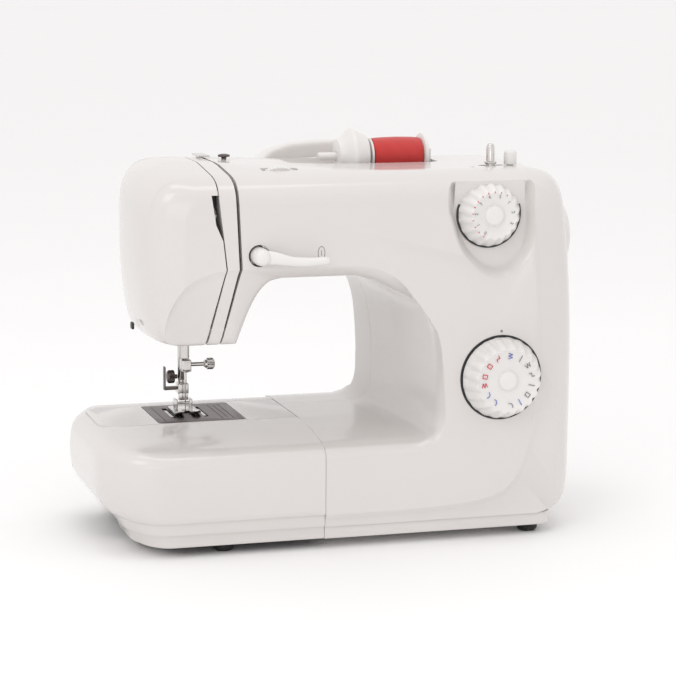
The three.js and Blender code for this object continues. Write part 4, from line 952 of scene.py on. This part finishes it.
reach = math.hypot(28, 10)
handle_keys = [(-40.5, -4), (-40.5, 8), (-37, 18), (-26, reach - 5), (-4, reach - 1.8), (14, reach - 1.2),
               (32, reach - 1.8), (54, reach - 5), (65, 18), (68.5, 8), (68.5, -4)]
handle_line = [handle_frame(x, r, 3.2 * max(0, math.sin(math.pi * (x + 40.5) / 109)) ** 1.2)
               for x, r in smooth_line(handle_keys, 72)]
spread = [(np.interp(t, [0, 0.02, 0.15, 0.3, 0.7, 0.85, 0.98, 1], [3, 3.9, 4.4, 7.2, 7.2, 4.4, 3.9, 3]),
           np.interp(t, [0, 0.02, 0.15, 0.3, 0.7, 0.85, 0.98, 1], [3, 4.6, 4.6, 3.7, 3.7, 4.6, 4.6, 3]))
          for t in np.linspace(0, 1, 72)]
rings = []
for i, (here, (thick, wide)) in enumerate(zip(handle_line, spread)):
    here = Vector(here)
    along = (Vector(handle_line[min(i + 1, 71)]) - Vector(handle_line[max(i - 1, 0)])).normalized()
    normal = Vector((0, -math.sin(math.atan2(10, 28)), math.cos(math.atan2(10, 28))))
    side = along.cross(normal)
    rings.append([here + side * wide * math.copysign(abs(math.cos(a)) ** 0.7, math.cos(a))
                  + normal * thick * 0.95 * math.copysign(abs(math.sin(a)) ** 0.7, math.sin(a))
                  for a in np.linspace(0, math.tau, 28, endpoint=False)])
pegs = [turned([(-55, 0), (-55, 2.1), (-42, 2.1), (-42, 0)], 24, "X", (0, 58, 253)),
        turned([(70, 0), (70, 2.1), (83, 2.1), (83, 0)], 24, "X", (0, 58, 253))]
finish("handle_grip", together(skin(rings), *pegs), part_white, "handle", "part_white", "carry_handle", crease=60)

# %% [markdown]
# Under the head, each steel part is small but close to the eye: the needle bar and its clamp, the presser
# bar with its shank and screws, and a foot with two upturned toes.

# %% Needle bar and clamp
NEEDLE = Vector((-105.6, 30.3, 0))
PRESSER = Vector((-105.6, 41.5, 0))
bar = turned([(120.5, 0), (120.5, 2.7), (121, 3.1), (242.4, 3.1), (243, 2.6), (243, 0)], 40, "Z", NEEDLE)
drive_block = block(NEEDLE + Vector((-4.4, -4.2, 196)), NEEDLE + Vector((3.6, 4.2, 204)), 0.6)
finish("needle_bar_steel", together(bar, drive_block), plated_steel, "needle_set", "chrome_steel", "needle_bar")
clamp = block(NEEDLE + Vector((-3.6, -3.8, 111)), NEEDLE + Vector((4, 3.8, 120.1)), 1.2, 4)
guide_wire = swept([NEEDLE + Vector(p) for p in ((-2, -3.4, 113), (-3, -5, 112), (0, -5.6, 111.4), (3, -5, 112))],
                   [(0.4, 0.4)] * 4, 10)
finish("needle_clamp_steel", together(clamp, guide_wire), plated_steel, "needle_set", "chrome_steel", "needle_clamp")
screw = turned([(0, 0), (0, 1.5), (9, 1.5), (10.3, 3), (11.3, 3.2), (11.6, 4.2), (15.8, 4.2), (16.4, 3.8), (17, 3.2),
                (17, 0)], 48, "X", (0, 0, 0))
for v in screw.verts:
    if v.co.x > 11.4 and math.hypot(v.co.y, v.co.z) > 3.5:
        v.co.yz = v.co.yz * (0.95 if round(math.atan2(v.co.z, v.co.y) / math.tau * 48) % 2 else 1.0)
bmesh.ops.translate(screw, vec=NEEDLE + Vector((4.3, 0, 116)), verts=screw.verts)
finish("clamp_screw_steel", screw, plated_steel, "clamp_screw", "chrome_steel", "needle_clamp_screw", crease=25)
needle = turned([(-31, 0), (-30, 0.18), (-27, 0.45), (-10, 0.55), (-8.4, 0.95), (-8, 1), (-0.3, 1), (-0.3, 0)],
        24, "Z",
                NEEDLE + Vector((0, 0, 111)))
finish("needle_steel", needle, plated_steel, "needle_set", "chrome_steel", "needle")

# %% Presser bar, shank, screw and foot
finish("presser_bar_steel", turned([(101.5, 0), (101.5, 2.8), (102, 3.1), (242.4, 3.1), (243, 2.6), (243, 0)],
        40, "Z",
                                   PRESSER), plated_steel, "presser_set", "chrome_steel", "presser_bar")
shank = together(block(PRESSER + Vector((-4, -6, 93)), PRESSER + Vector((4, 4.4, 101.2)), 1.3, 4),
                 block(PRESSER + Vector((-3.4, -6, 88.6)), PRESSER + Vector((3.4, -2, 94.4)), 0.6))
finish("shank_steel", shank, plated_steel, "presser_set", "chrome_steel", "presser_shank")
thumb = turned([(0, 0), (0, 1.6), (2.4, 1.6), (2.4, 4.4), (2.8, 4.8), (6.4, 4.8), (7.4, 3.8), (7.4, 0)], 48, "X",
        (0, 0, 0))
for v in thumb.verts:
    if v.co.x > 2.5 and math.hypot(v.co.y, v.co.z) > 4:
        v.co.yz = v.co.yz * (0.94 if round(math.atan2(v.co.z, v.co.y) / math.tau * 48) % 2 else 1.0)
bmesh.ops.rotate(thumb, matrix=Matrix.Rotation(math.pi, 3, "Z"), verts=thumb.verts)
bmesh.ops.translate(thumb, vec=(-109.1, 41.5, 105.5), verts=thumb.verts)
finish("thumb_screw_steel", thumb, dark_steel, "thumb_screw", "dark_steel", "presser_thumb_screw", crease=25)
sole = [(-9.5, -20), (-8.4, -22.6), (-6.4, -24), (-4, -23.6), (-2.8, -21.6), (-2.6, -8.6), (2.6, -8.6), (2.8, -21.6),
        (4, -23.6), (6.4, -24), (8.4, -22.6), (9.5, -20), (9.5, 6), (7, 9), (-7, 9), (-9.5, 6)]
foot = plate([(x + PRESSER.x, y + PRESSER.y) for x, y in sole], "Z", BED_TOP + 0.35, BED_TOP + 1.9, 0.3)
bmesh.ops.bisect_plane(foot, geom=foot.verts[:] + foot.edges[:] + foot.faces[:], plane_co=(0, PRESSER.y - 16, 0),
                       plane_no=(0, 1, 0))
for v in foot.verts:
    ahead = max(0.0, PRESSER.y - 16 - v.co.y)
    v.co.z += ahead ** 1.6 * 0.09
ears = [block(PRESSER + Vector((x, -6, BED_TOP + 1.2)), PRESSER + Vector((x + 2.4, 1, 89.5)), 0.7,
        3) for x in (-6.6, 4.2)]
cross_pin = turned([(-5, 0), (-5, 1), (5, 1), (5, 0)], 24, "X", PRESSER + Vector((0, -3.5, 86.5)))
finish("foot_steel", together(foot, *ears, cross_pin), plated_steel, "presser_set", "chrome_steel", "presser_foot")

# %% [markdown]
# Rubber feet, the thread cutter, the power switch and the rear lifter finish the outside. They are simple
# shapes, but each has the soft edges that moulding gives.

# %% Feet, cutter, lifter and switch
foot_profile = [(0, 0), (0, 5), (0.4, 5.8), (1.4, 6.9), (2.4, 7.4), (7.2, 7.5), (7.2, 0)]
for corner, (x, y) in {"front_left": (-99, -57), "front_right": (126, -59), "rear_left": (-134, 68),
                       "rear_right": (120, 76)}.items():
    finish(f"rubber_{corner}", turned(foot_profile, 40, "Z", (x, y, 0)), foot_rubber, "machine", "black_rubber",
           f"foot_{corner}")
cutter_low, cutter_high = [Vector(c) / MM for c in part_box("thread_cutter")]
finish("cutter_body", block(cutter_low, cutter_high, 0.9, 3), dark_plastic, "machine", "black_plastic",
        "thread_cutter")
switch_low, switch_high = [Vector(c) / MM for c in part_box("power_switch")]
finish("switch_rocker", block(switch_low, switch_high, 1.4, 4), dark_plastic, "switch", "black_plastic",
        "power_switch")
lever_turn = plate([(-96 + 7 * math.cos(a), 178 + 7 * math.sin(a)) for a in np.linspace(math.pi / 2,
        1.5 * math.pi, 12)]
                   + [(-66 + 5 * math.cos(a), 158 + 5 * math.sin(a)) for a in np.linspace(-math.pi / 2,
                           math.pi / 2, 12)],
                   "Y", 80, 85, 1.0)
finish("lifter_lever", together(turned([(66, 0), (66, 5.6), (84, 5.6), (84, 0)], 32, "Y", (-96, 0, 178)), lever_turn),
       dark_plastic, "lifter", "black_plastic", "presser_lifter")

# %% [markdown]
# Parts whose solids already have the right shape keep them, and get the finish that the real part has.

# %% Finishes for the frame's own solids
kept = {
    dark_plastic: ["base_tray", "winder_arm", "power_inlet"], foot_rubber: ["drive_belt", "timing_belt"],
    turned_steel: ["feed_dog", "shuttle_hook", "bobbin_case", "upper_shaft", "lower_shaft", "motor_pulley",
                   "presser_spring", "tension_post"],
    plated_steel: ["take_up_lever", "tension_disc_left", "tension_disc_right", "pretension_guide"],
    dark_steel: ["shank_thread_guide"], cast_alloy: ["shuttle_race", "crank_disc", "main_frame"],
    motor_paint: ["motor"], lamp_glass: ["lamp_bulb"], clear_bobbin: ["bobbin"],
}
for material, names in kept.items():
    for name in names:
        for place in frame["nodes"][name].material_slots:
            place.material = material
print("kept solids refinished:", sum(len(names) for names in kept.values()))

# %% [markdown]
# A pale floor, a soft key light from the front left and an even surround show the gloss without hard
# shadows. The camera stands low at the front left, with a long lens that keeps the edges near parallel.

# %% Floor, light and camera
floor_recipe = Recipe("pale floor")
floor_grain = floor_recipe.noise(6.0)
floor_material = floor_recipe.feed(Base_Color=floor_recipe.mix(floor_grain, (0.95, 0.95, 0.95), (0.97, 0.97, 0.97)),
                                   Roughness=0.7 + floor_grain * 0.1)
floor = bmesh.new()
bmesh.ops.create_grid(floor, x_segments=8, y_segments=8, size=60.0)
floor_mesh = bpy.data.meshes.new("floor")
floor.to_mesh(floor_mesh)
floor_piece = bpy.data.objects.new("floor", floor_mesh)
bpy.context.collection.objects.link(floor_piece)
floor_mesh.materials.append(floor_material)
world = bpy.data.worlds.new("soft surround")
world.use_nodes = True
world.node_tree.nodes["Background"].inputs["Color"].default_value = (1.0, 0.985, 0.98, 1)
world.node_tree.nodes["Background"].inputs["Strength"].default_value = 0.95
bpy.context.scene.world = world
bpy.context.scene.view_settings.view_transform = "Standard"


def soft_light(name, spot, aim, size, power, tint=(1, 1, 1)):
    lamp = bpy.data.lights.new(name, "AREA")
    lamp.shape, lamp.size, lamp.size_y, lamp.energy, lamp.color = "RECTANGLE", size[0], size[1], power, tint
    holder = bpy.data.objects.new(name, lamp)
    holder.location = spot
    holder.rotation_euler = (Vector(aim) - Vector(spot)).to_track_quat("-Z", "Y").to_euler()
    bpy.context.collection.objects.link(holder)


soft_light("key", (-1.4, -1.5, 1.3), (0, 0, 0.14), (1.0, 0.9), 5.5)
soft_light("top", (-0.1, -0.2, 1.7), (0, 0, 0.15), (1.0, 0.7), 3.5)
soft_light("low fill", (-0.6, -1.9, 0.35), (0, 0, 0.12), (1.2, 0.4), 1.2)
psi, theta, roll = math.radians(16.56), math.radians(9.6), math.radians(0.31)
ahead = Vector((math.sin(psi) * math.cos(theta), math.cos(psi) * math.cos(theta), -math.sin(theta)))
level = Vector((math.cos(psi), -math.sin(psi), 0))
upward = level.cross(ahead)
across = level * math.cos(roll) + upward * math.sin(roll)
above = -level * math.sin(roll) + upward * math.cos(roll)
lens = bpy.data.cameras.new("camera")
lens.lens, lens.sensor_width = 127.9, 36
camera = bpy.data.objects.new("camera", lens)
turn = Matrix((across, above, -ahead)).transposed()
camera.matrix_world = Matrix.Translation((-0.4867, -1.6385, 0.425)) @ turn.to_4x4()
bpy.context.collection.objects.link(camera)
bpy.context.scene.camera = camera
